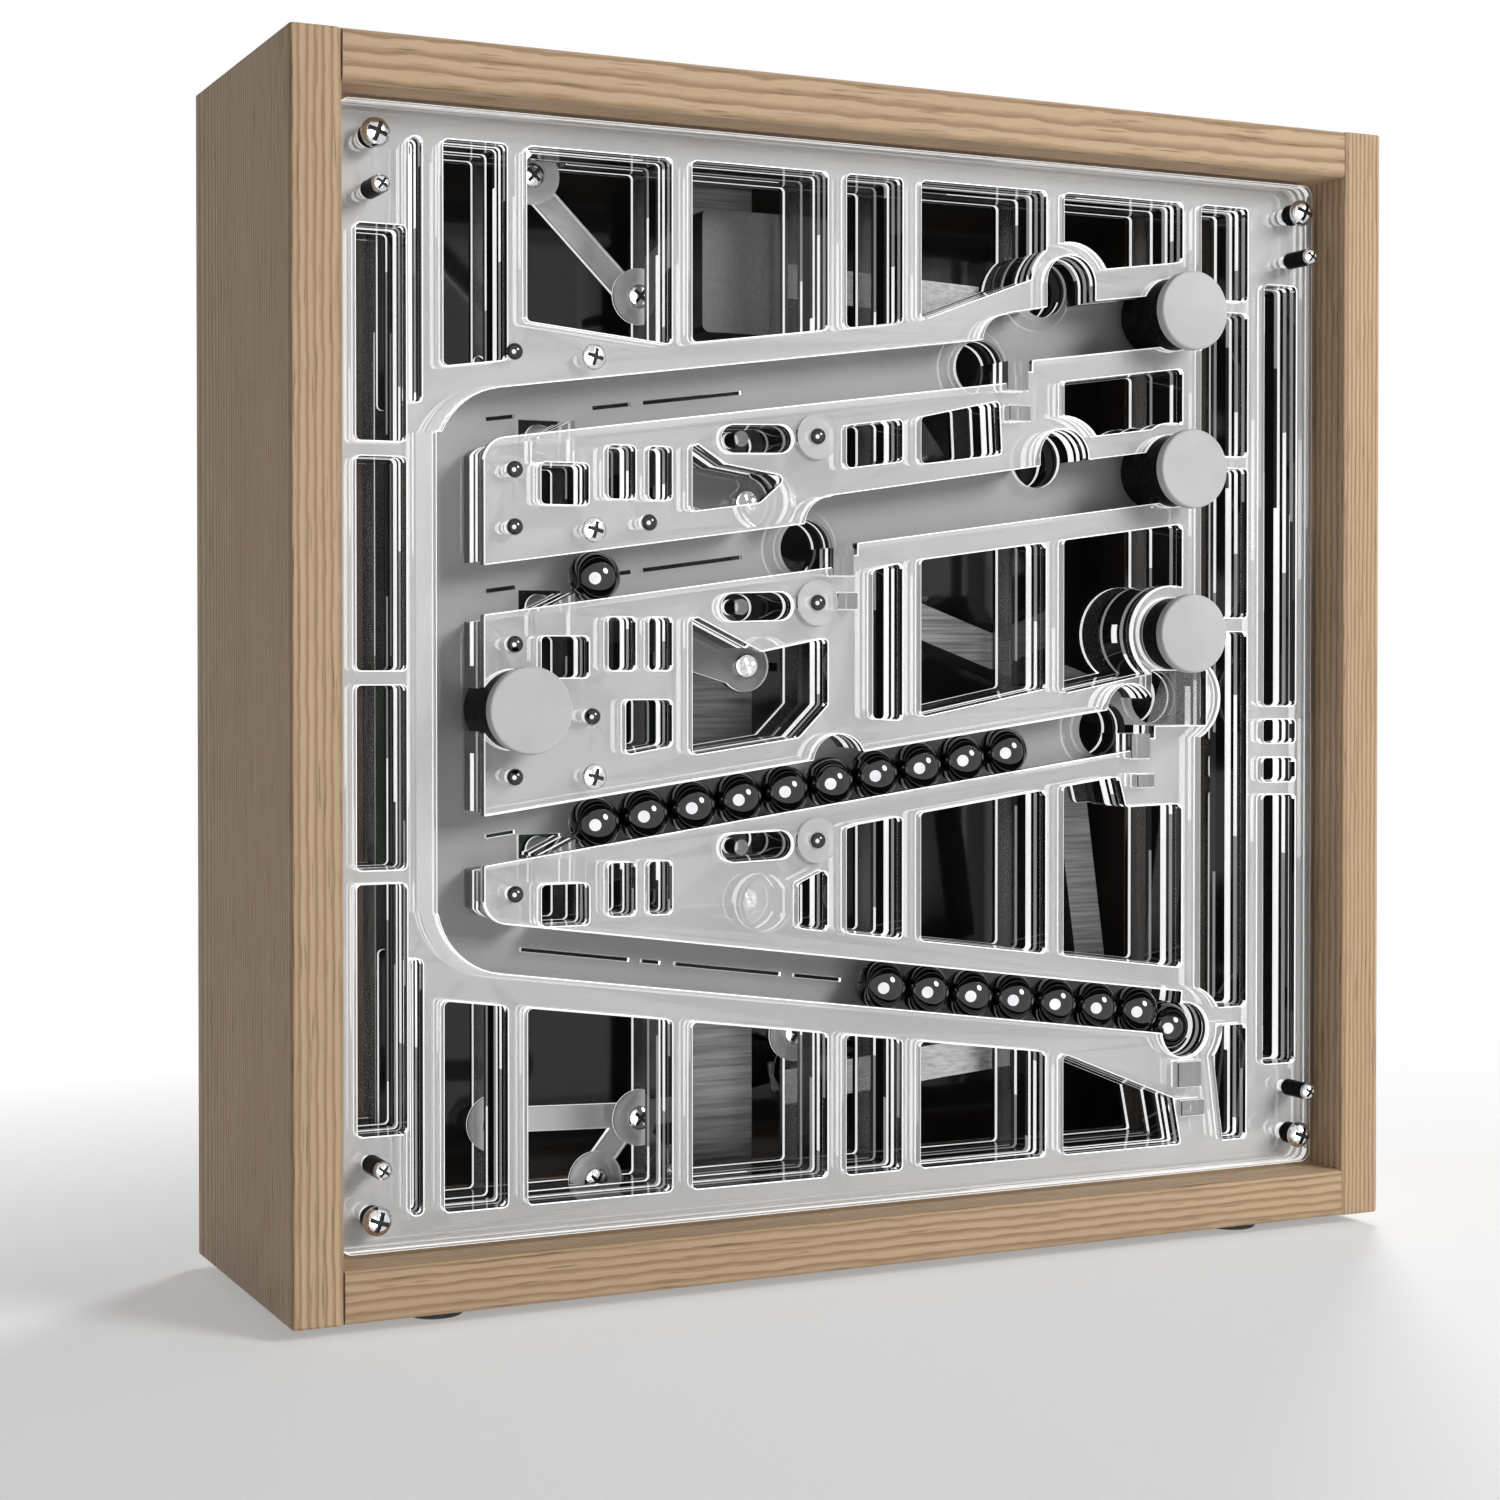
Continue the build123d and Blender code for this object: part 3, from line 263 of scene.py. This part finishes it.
def clear_sheet(name, painted_face_shade, cover, core, front, thickness, painted_rim_brightness=0.95):
    """Acrylic whose faces get a painted grey, their painted shade and sheen, and cover what lies behind by
    a share.
    Its cut walls are painted reflections that glow: lines along the sheet, a core colour between black
    rims, and bevels in the painted rim brightness."""
    line_width, block_length, rim_share = 1.5, 38.0, 0.09
    # The walls glow: their painted reflection lines are their emission colour too.
    finish = Finish(name, Specular_IOR_Level=0.35, Emission_Strength=0.7)
    turned = finish.place.node("ShaderNodeNewGeometry", {}, {}, "Normal").part("Y").maths("ABSOLUTE")
    flat = turned > 0.93
    painted_rim_mask = (turned > 0.2) * (1.0 - flat)
    mist = finish.place.noise(14.0, 3.0)
    # Painted face colour: a pale sheen on the front sheets, and painted shade on the sheets further back.
    face = mist.ramp((0.3, (painted_face_shade * 0.94,) * 3), (0.7, (min(painted_face_shade * 1.05, 1),) * 3))
    depth = (finish.place.part("Y") / MM + (half_depth - front)) / thickness
    run = (finish.place.part("Z") + finish.place.part("X") * 0.31) / (block_length * MM)
    line = (depth * (thickness / line_width)).maths("FLOOR") + front * 3.0
    one_value = {"noise_dimensions": "1D"}
    long_line = line.node("ShaderNodeTexWhiteNoise", one_value, {"W": line})
    block = (run + long_line * 7.0).maths("FLOOR")
    chip = block.node("ShaderNodeTexWhiteNoise", one_value, {"W": block * 3.7 + line * 11.3 + 0.5})
    # Each wall is black next to both faces of its sheet, as part of its painted reflections.
    rim = (depth < rim_share).maths("MAXIMUM", depth > 1 - rim_share)
    bright = (long_line * 0.50 + chip * 0.10 + core * 0.4) * (1.0 - rim)
    # Painted reflections: black and bright lines for the dark and the light seen inside the acrylic.
    painted_wall_reflections = bright.ramp((0.0, (0.003,) * 3), (0.38, (0.02,) * 3), (0.46, (0.26,) * 3), (0.50, (0.95,) * 3),
                       interpolation="CONSTANT")
    # Painted black reflection round the buttons and in the kidney slots.
    painted_wall_reflections = (painted_black_reflections(finish.place) * (long_line < 0.78)).mix(painted_wall_reflections, (0.004,) * 3)
    # Bevels take the painted rim brightness: a painted highlight when high, and a painted dark outline
    # when low.
    painted_wall_reflections = painted_rim_mask.mix(painted_wall_reflections, (painted_rim_brightness,) * 3)
    finish.feed(Base_Color=flat.mix(painted_wall_reflections, face), Roughness=0.06 + flat * 0.10,
                Alpha=1.0 - flat * (1.0 - cover), Emission_Color=flat.mix(painted_wall_reflections, (0, 0, 0)))
    return finish


# sheet, painted shade and cover of its faces, brightness of the painted reflections in its walls' core,
# front face and thickness in mm, and painted brightness of its bevelled rims (a painted highlight when
# high, a painted dark outline when low)
sheets = (
    ("front_plate", 0.92, 0.37, 0.50, 11.0, 3.0, 0.95),
    ("track_plate_front", 0.55, 0.15, 0.0, 14.0, 4.0, 0.005),
    ("track_plate_centre", 0.55, 0.15, 0.55, 18.0, 4.0, 0.9),
    ("track_plate_rear", 0.35, 0.15, 0.0, 22.0, 3.0, 0.01),
    ("middle_plate", 0.62, 0.50, 0.15, 25.0, 3.0, 0.02),
    ("stack_spacers", 0.08, 0.35, 0.0, 28.0, 7.0, 0.9),
    ("rear_plate", 0.12, 0.35, 0.40, 35.0, 3.0, 0.9),
)
finishes = {name: clear_sheet(f"acrylic_{name}", *sizes) for name, *sizes in sheets}
for name, finish in finishes.items():
    finish.on(name)


def polished(name, width):
    """The sheet again with its cut edges flame-polished to a narrow bevelled rim, which its finish paints
    in its rim brightness as a glowing highlight.
    """
    source = node[name]
    work = bmesh.new()
    work.from_mesh(source.data)
    bmesh.ops.remove_doubles(work, verts=work.verts, dist=0.00001)
    bmesh.ops.dissolve_limit(work, angle_limit=math.radians(2), verts=work.verts, edges=work.edges)
    mesh = bpy.data.meshes.new(f"{name}_polished")
    work.to_mesh(mesh)
    work.free()
    piece = bpy.data.objects.new(f"{name}_polished", mesh)
    bpy.context.scene.collection.objects.link(piece)
    rim = piece.modifiers.new("rim", "BEVEL")
    rim.width, rim.segments = width * MM, 1
    rim.limit_method, rim.angle_limit = "ANGLE", math.radians(60)
    rim.use_clamp_overlap = False
    mesh = bpy.data.meshes.new_from_object(piece.evaluated_get(bpy.context.evaluated_depsgraph_get()))
    piece.modifiers.clear()
    piece.data = mesh
    mesh.materials.clear()
    mesh.materials.append(finishes[name].material)
    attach(piece, "case")
    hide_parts(name)
    piece.visible_shadow = False  # a clear sheet throws next to none


polished("front_plate", 0.24)
# These too get a painted face shade and glowing painted reflections on their walls; the levers' faces are
# dark to paint shade into the kidney slots.
clear_sheet("acrylic_tenons", 0.34, 0.9, 0.1, 10.6, 14.4).on("tenon_blocks")
clear_sheet("acrylic_washers", 0.85, 0.5, 0.2, 10.0, 1.0).on("island_washers")
clear_sheet("acrylic_levers", 0.34, 0.6, 0.2, 14.3, 17.0).on("minutes_gate_lever", "tens_gate_lever",
                                                             "hours_gate_lever")
clear_sheet("acrylic_braces", 0.70, 0.7, 0.4, 34.0, 6.5).on("brace_discs", "brace_bars")


# ---------------------------------------------------------------- bright steel: screws and springs
# Turned and plated cross-head screws: a low dome with a cross pressed into it, painted black inside as
# painted shade.
# One head and shank is grown at every screw's place. The buttons' springs move with them.
bright_steel = Finish("bright_steel", Metallic=1.0)
turning = bright_steel.place.noise(1800.0, 2.0)
bright_steel.feed(Base_Color=turning.ramp((0.3, (0.55, 0.55, 0.56)), (0.7, (0.72, 0.72, 0.73))),
                  Roughness=0.10 + turning * 0.12)
bright_steel.relief(turning, 0.00004, 0.4)
bright_steel.on("back_panel_screws", "gate_pivot_screws", "minutes_button_spring", "tens_button_spring",
                "hours_button_spring", "reset_button_spring")


def pressed_spring(button):
    """The button's spring as a piece of its own, which moves with the button."""
    source = node[f"{button}_button_spring"]
    piece = bpy.data.objects.new(f"{button}_spring_coil", source.data.copy())
    bpy.context.scene.collection.objects.link(piece)
    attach(piece, f"{button}_button")
    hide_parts(f"{button}_button_spring")
    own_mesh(piece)


for button in ("minutes", "tens", "hours", "reset"):
    pressed_spring(button)
# The cross recess is near-black: painted shade, not the steel's own colour.
recess_painted_shade = Finish("screw_recess_painted_shade", Specular_IOR_Level=0.2)
recess_shade_mottle = recess_painted_shade.place.noise(2000.0, 2.0)
recess_painted_shade.feed(Base_Color=recess_shade_mottle.ramp((0.3, (0.004,) * 3), (0.7, (0.012,) * 3)),
                  Roughness=0.5 + recess_shade_mottle * 0.2)


class Growth:
    """A Geometry Nodes tree being written, with named inputs for its sizes."""

    def __init__(self, name):
        self.tree = bpy.data.node_groups.new(name, "GeometryNodeTree")
        self.tree.interface.new_socket("Geometry", in_out="OUTPUT", socket_type="NodeSocketGeometry")
        self.source = self.tree.nodes.new("NodeGroupInput")
        self.values = {}

    def size(self, name, value, kind="NodeSocketFloat"):
        """A named input and the value it gets."""
        made = self.tree.interface.new_socket(name, in_out="INPUT", socket_type=kind)
        self.values[made.identifier] = value
        return self.source.outputs[name]

    def add(self, kind, out=0, settings=(), **links):
        made = self.tree.nodes.new(kind)
        for name, value in dict(settings).items():
            setattr(made, name, value)
        for key, value in links.items():
            socket = made.inputs[int(key[1:]) if key[1:].isdigit() else key.replace("_", " ")]
            if isinstance(value, bpy.types.NodeSocket):
                self.tree.links.new(value, socket)
            elif isinstance(value, (list, tuple)) and value and isinstance(value[0], bpy.types.NodeSocket):
                for each in value:
                    self.tree.links.new(each, socket)
            else:
                socket.default_value = value
        return made.outputs[out]

    def grown(self, name, shape):
        """Runs the tree once and gives the plain mesh object that it makes."""
        end = self.tree.nodes.new("NodeGroupOutput")
        self.tree.links.new(self.add("GeometryNodeRealizeInstances", i0=shape), end.inputs[0])
        piece = bpy.data.objects.new(name, bpy.data.meshes.new(name))
        bpy.context.scene.collection.objects.link(piece)
        modifier = piece.modifiers.new("grow", "NODES")
        modifier.node_group = self.tree
        for identifier, value in self.values.items():
            modifier[identifier] = value
        ready = piece.evaluated_get(bpy.context.evaluated_depsgraph_get())
        mesh = bpy.data.meshes.new_from_object(ready)
        piece.modifiers.clear()
        piece.data = mesh
        mesh.name = name
        return piece


def drawn(x, depth, z):
    """A point of the sheets' drawing, in the part's own frame: millimetres to metres."""
    return ((x - half_width) * MM, (depth - half_depth) * MM, (z + foot_height) * MM)


def by_tracks(*offsets):
    """Places at these offsets from the first ball of each timing track."""
    return [(first_x + across, z + up) for z in track_z for across, up in offsets]


cross_length, cross_width = 1.35, 0.30  # as shares of the head's radius


def screws(name, places, head, height, shank, face, tip, turn):
    """Cross-head screws whose heads start at the face's depth and whose tips are at the tip's."""
    cut = {"operation": "DIFFERENCE", "solver": "EXACT"}
    growth = Growth(name)
    radius = growth.size("Head Radius", head * MM)
    rise = growth.size("Head Height", height * MM)
    core = growth.size("Shank Radius", shank * MM)
    reach = growth.size("Length", (tip - face - height) * MM)
    steel_socket = growth.size("Steel", bright_steel.material, "NodeSocketMaterial")
    dark_socket = growth.size("Recess", recess_painted_shade.material, "NodeSocketMaterial")
    ball_shape = growth.add("GeometryNodeMeshUVSphere", Segments=32, Rings=16, Radius=radius)
    squeeze = growth.add("ShaderNodeMath", settings={"operation": "DIVIDE"}, i0=rise, i1=radius)
    dome = growth.add("GeometryNodeTransform", i0=ball_shape,
                      Scale=growth.add("ShaderNodeCombineXYZ", X=1.0, Y=1.0, Z=squeeze))
    below = growth.add("GeometryNodeMeshCube", Size=(4 * head * MM, 4 * head * MM, 2 * height * MM))
    below = growth.add("GeometryNodeTransform", i0=below, Translation=(0, 0, -height * MM))
    dome = growth.add("GeometryNodeMeshBoolean", settings=cut, i0=dome, i1=below)
    bars = []
    for long, wide in ((cross_length, cross_width), (cross_width, cross_length)):
        bar = growth.add("GeometryNodeMeshCube", Size=(long * head * MM, wide * head * MM, height * MM))
        bars.append(growth.add("GeometryNodeTransform", i0=bar, Translation=(0, 0, height * MM)))
    cross = growth.add("GeometryNodeMeshBoolean", settings={**cut, "operation": "UNION"}, i1=bars)
    # The cross gets the painted shade of its recess.
    cross = growth.add("GeometryNodeSetMaterial", i0=cross, Material=dark_socket)
    dome = growth.add("GeometryNodeSetMaterial", i0=dome, Material=steel_socket)
    head_shape = growth.add("GeometryNodeMeshBoolean", settings=cut, i0=dome, i1=cross)
    rod = growth.add("GeometryNodeMeshCylinder", Vertices=24, Radius=core, Depth=reach)
    drop = growth.add("ShaderNodeMath", settings={"operation": "MULTIPLY"}, i0=reach, i1=-0.5)
    rod = growth.add("GeometryNodeTransform", i0=rod,
                     Translation=growth.add("ShaderNodeCombineXYZ", Z=drop))
    rod = growth.add("GeometryNodeSetMaterial", i0=rod, Material=steel_socket)
    one = growth.add("GeometryNodeJoinGeometry", i0=[head_shape, rod])
    points = [growth.add("GeometryNodePoints", Count=1, Position=drawn(x, face + height, z))
              for x, z in places]
    spots = growth.add("GeometryNodeJoinGeometry", i0=points)
    stand = growth.add("FunctionNodeEulerToRotation", i0=(math.radians(90), math.radians(turn), 0))
    rows = growth.add("GeometryNodeInstanceOnPoints", Points=spots, Instance=one, Rotation=stand)
    piece = growth.grown(name, rows)
    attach(piece, "case")
    return piece


corner_x, corner_z, standoff_z = (21.7, 278.5), (21.5, 268.5), (33.7, 256.3)
corner_places = [(x, z) for x in corner_x for z in corner_z]
standoff_places = [(x, z) for x in corner_x for z in standoff_z]
island_places = by_tracks((-2.7, 11.1))
brace_places = ((98.2, 239.2), (70.0, 267.0), (98.2, 35.1), (86.4, 20.6), (60.0, 36.5), (141.3, 53.5))
corner_heads = screws("corner_screw_heads", corner_places, head=3.5, height=2.6, shank=1.9, face=4.0,
                      tip=46.0, turn=20)
standoff_heads = screws("standoff_screw_heads", standoff_places, head=2.2, height=1.6, shank=1.3, face=1.0,
                        tip=46.0, turn=35)
plate_heads = screws("plate_screw_heads", island_places, head=3.1, height=1.2, shank=1.5, face=9.8,
                     tip=28.0, turn=15)
screws("brace_screw_heads", brace_places, head=3.1, height=1.2, shank=1.5, face=32.8, tip=40.5, turn=40)
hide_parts("corner_screws")
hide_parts("standoff_screws")
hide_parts("plate_screws")


# ---------------------------------------------------------------- black plastic: sleeves and plungers
# Moulded nylon, glossy where it slides.
black = Finish("black_nylon", Specular_IOR_Level=0.10, IOR=1.12)
skin = black.place.noise(700.0, 3.0)
black.feed(Base_Color=skin.ramp((0.3, (0.006,) * 3), (0.7, (0.016,) * 3)), Roughness=0.22 + skin * 0.15)
black.relief(skin, 0.00005, 0.4)
black.on("screw_sleeves", "minutes_button_plunger", "tens_button_plunger", "hours_button_plunger",
         "reset_button_plunger", "rising_carriers", "falling_carriers", "upper_pulley", "lower_pulley")


# ---------------------------------------------------------------- button caps
# Pale grey moulded caps with a fine spark-eroded texture.
cap = Finish("cap_grey", Specular_IOR_Level=0.3)
spark = cap.place.noise(2600.0, 3.0)
dust = cap.place.noise(60.0, 3.0)
cap.feed(Base_Color=dust.ramp((0.3, (0.50,) * 3), (0.7, (0.58,) * 3)), Roughness=0.55 + spark * 0.2)
cap.relief(spark, 0.00004, 0.5)
cap.on("minutes_button_cap", "tens_button_cap", "hours_button_cap", "reset_button_cap")


# ---------------------------------------------------------------- troughs and lift
# Folded steel channels, and a belt lift with a small motor and its control board.
steel = Finish("brushed_steel", Metallic=1.0)
brush = steel.place.stretched(0.03, 1, 1).noise(1400.0, 2.0)
steel.feed(Base_Color=brush.ramp((0.3, (0.05, 0.05, 0.051)), (0.7, (0.11, 0.11, 0.112))),
           Roughness=0.36 + brush * 0.2)
steel.relief(brush, 0.00005, 0.5)
steel.on("minutes_to_tens_trough", "tens_to_hours_trough", "hours_drop_trough", "return_trough",
         "top_trough", "lift_frame")

belt = Finish("belt_rubber", Specular_IOR_Level=0.3)
rib_pitch = 2.0
rib = (belt.place.part("Z") / (rib_pitch * MM)).maths("FRACT") > 0.5
belt.feed(Base_Color=rib.mix((0.012,) * 3, (0.045,) * 3), Roughness=0.55 + rib * 0.1)
belt.relief(rib, 0.0002, 0.6)
belt.on("lift_belt")

paint = Finish("motor_black", Specular_IOR_Level=0.5)
orange_peel = paint.place.noise(800.0, 2.0)
paint.feed(Base_Color=orange_peel.ramp((0.3, (0.008,) * 3), (0.7, (0.02,) * 3)),
           Roughness=0.3 + orange_peel * 0.15)
paint.relief(orange_peel, 0.00006, 0.5)
paint.on("lift_motor")

board = Finish("board_green", Specular_IOR_Level=0.5)
track = board.place.node("ShaderNodeTexBrick", {"offset": 0.5}, {
    "Vector": board.place.stretched(1, 0, 1), "Scale": 160.0, "Mortar Size": 0.06}, 1)
board.feed(Base_Color=track.mix((0.010, 0.055, 0.025), (0.05, 0.16, 0.07)), Roughness=0.3 + track * 0.2)
board.on("control_board")


# ---------------------------------------------------------------- balls and pins
# Half-inch chrome bearing balls, polished like a mirror, whose near-black base is a painted dark
# reflection, and the domed pins through the sheets, finished the same way. A row of balls is one sphere
# grown along a line.
# The near-black base colour is a painted dark reflection: it keeps the white room's reflections dark.
ball = Finish("ball_chrome", Metallic=1.0, Coat_Weight=0.3, Coat_Roughness=0.02)
polish = ball.place.noise(300.0, 3.0)
ball.feed(Base_Color=polish.ramp((0.3, (0.044, 0.044, 0.046)), (0.7, (0.056, 0.056, 0.058))),
          Roughness=0.03 + polish * 0.03)
pin_dome, pin_shank, pin_flatness = 2.0, 1.35, 0.8
pin_tip = 28.0  # the depth that the pins reach to
ball_radius = 6.35


def domed_pins(name, places, face, stands_for):
    """Domed pins through the sheets, each on a shank."""
    reach = (pin_tip - face) * MM
    growth = Growth(name)
    radius = growth.size("Pin Radius", pin_dome * MM)
    coat = growth.size("Chrome", ball.material, "NodeSocketMaterial")
    dome = growth.add("GeometryNodeMeshUVSphere", Segments=32, Rings=16, Radius=radius)
    dome = growth.add("GeometryNodeTransform", i0=dome, Scale=(1, 1, pin_flatness))
    rod = growth.add("GeometryNodeMeshCylinder", Vertices=24, Radius=pin_shank * MM, Depth=reach)
    rod = growth.add("GeometryNodeTransform", i0=rod, Translation=(0, 0, -reach / 2))
    one = growth.add("GeometryNodeJoinGeometry", i0=[dome, rod])
    one = growth.add("GeometryNodeSetShadeSmooth", i0=one)
    one = growth.add("GeometryNodeSetMaterial", i0=one, Material=coat)
    points = [growth.add("GeometryNodePoints", Count=1, Position=drawn(x, face, z)) for x, z in places]
    spots = growth.add("GeometryNodeJoinGeometry", i0=points)
    stand = growth.add("FunctionNodeEulerToRotation", i0=(math.radians(90), 0, 0))
    rows = growth.add("GeometryNodeInstanceOnPoints", Points=spots, Instance=one, Rotation=stand)
    piece = growth.grown(name, rows)
    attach(piece, "case")
    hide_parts(stands_for)


reset_pin, tens_pin = (76.3, 135.7), (91.0, 182.0)
island_pins = by_tracks((-22.7, 11.4), (-22.7, -16.1))
domed_pins("domed_pins", island_pins + [reset_pin, tens_pin], 11.0, "stack_pins")
domed_pins("washer_pin_domes", by_tracks((56.2, -5.7)), 10.0, "washer_pins")


def ball_row(row, body):
    """Smooth balls in the places of the CAD balls of one node, found from the row's own ends."""
    low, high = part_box(row)
    count = max(1, round(max(high - low) / (2 * ball_radius * MM)))
    places = [vertex.co for vertex in node[row].data.vertices]
    left, right = (pick(places, key=lambda point: point.x) for pick in (min, max))
    first = (low.x + ball_radius * MM, left.y, left.z)
    last = (high.x - ball_radius * MM, right.y, right.z)
    growth = Growth(f"{row}_chrome")
    radius = growth.size("Ball Radius", ball_radius * MM)
    coat = growth.size("Chrome", ball.material, "NodeSocketMaterial")
    one = growth.add("GeometryNodeMeshUVSphere", Segments=64, Rings=32, Radius=radius)
    one = growth.add("GeometryNodeSetShadeSmooth", i0=one)
    one = growth.add("GeometryNodeSetMaterial", i0=one, Material=coat)
    line = growth.add("GeometryNodeMeshLine", settings={"mode": "END_POINTS"},
                      Count=growth.size("Count", count, "NodeSocketInt"),
                      Start_Location=growth.size("First", first, "NodeSocketVector"),
                      i3=growth.size("Last", last, "NodeSocketVector"))
    balls = growth.add("GeometryNodeInstanceOnPoints", Points=line, Instance=one)
    piece = growth.grown(f"{row}_chrome", balls)
    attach(piece, body)
    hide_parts(row)


for row in ("tens_ball", "hour_balls", "queue_balls", "exit_ball", "trough_balls"):
    ball_row(row, row)
ball_row("lift_ball", "rising_run")


# ---------------------------------------------------------------- studio
# A pale floor, a broad key from the front right, a smaller lamp behind on the right, and a
# plain white room with a softbox that only reflections show.
room = bpy.data.worlds.new("studio")
bpy.context.scene.world = room
room.use_nodes = True
air = room.node_tree.nodes["Background"]
rays = room.node_tree.nodes.new("ShaderNodeLightPath").outputs
in_view, glossy, through = (Wire(room.node_tree, rays[name]) for name in (
    "Is Camera Ray", "Is Glossy Ray", "Is Transmission Ray"))
seen = in_view.maths("MAXIMUM", glossy).maths("MAXIMUM", through)
air.inputs["Color"].default_value = (1, 1, 1, 1)
softbox_towards, softbox_edge = (-0.28, -0.955, -0.09), 0.895
towards = Wire(room.node_tree, room.node_tree.nodes.new("ShaderNodeTexCoord").outputs["Generated"])
aim = towards.node("ShaderNodeVectorMath", {"operation": "DOT_PRODUCT"}, [towards, softbox_towards], 1)
strength = 0.10 + seen * 0.90 + glossy * (aim > softbox_edge) * 14.0
room.node_tree.links.new(strength.socket, air.inputs["Strength"])

bpy.ops.mesh.primitive_plane_add(size=12.0)
floor = bpy.context.object
floor.name = "floor"
pale = Finish("floor_pale", Specular_IOR_Level=0.2)
wash = pale.place.noise(2.0, 2.0)
pale.feed(Base_Color=wash.ramp((0.3, (0.86,) * 3), (0.7, (0.88,) * 3)), Roughness=0.6 + wash * 0.1)
# The floor glows a little by itself, and turns to plain white away from the clock and behind it.
near_glow, lit_reach = 0.34, 0.24
reach = pale.place.node("ShaderNodeVectorMath", {"operation": "LENGTH"}, [pale.place], 1)
far = ((reach - lit_reach) * 1.7 + pale.place.part("Y") * 2.2).clamp()
eye = Wire(pale.tree, pale.tree.nodes.new("ShaderNodeLightPath").outputs["Is Camera Ray"])
glow = Wire(pale.tree, pale.tree.nodes.new("ShaderNodeEmission").outputs[0])
blended = glow.node("ShaderNodeMixShader", {}, [eye * (near_glow + far * (1 - near_glow)),
                                                Wire(pale.tree, pale.shader.outputs[0]), glow])
pale.tree.links.new(blended.socket, pale.tree.nodes["Material Output"].inputs["Surface"])
floor.visible_glossy = False
floor.data.materials.append(pale.material)


def lamp(name, size, place, target, power):
    """A round lamp that faces a target."""
    light = bpy.data.lights.new(name, "AREA")
    light.shape, light.size, light.energy = "DISK", size, power
    holder = bpy.data.objects.new(name, light)
    bpy.context.scene.collection.objects.link(holder)
    holder.location = place
    holder.rotation_euler = (Vector(target) - Vector(place)).to_track_quat("-Z", "Y").to_euler()


lamp("key", 0.9, (1.15, -1.75, 1.15), (0, 0, 0.13), 40.0)
lamp("rim", 0.5, (1.0, 1.1, 1.0), (0, 0, 0.1), 16.0)


# ---------------------------------------------------------------- camera
# Fitted to the photograph: a 64 mm view from the clock's left, level with its middle.
tilt, heading = 89.21, -25.395
view = bpy.data.cameras.new("view")
view.lens, view.sensor_width, view.shift_y = 64.0, 36.0, -0.0373
view.clip_start = 0.01
camera = bpy.data.objects.new("view", view)
bpy.context.scene.collection.objects.link(camera)
camera.location = (-0.31122, -0.61947, 0.15274)
camera.rotation_euler = Euler((math.radians(tilt), 0, math.radians(heading)))
bpy.context.scene.camera = camera
bpy.context.scene.view_settings.view_transform = "Standard"
bpy.context.scene.cycles.transparent_max_bounces = 40
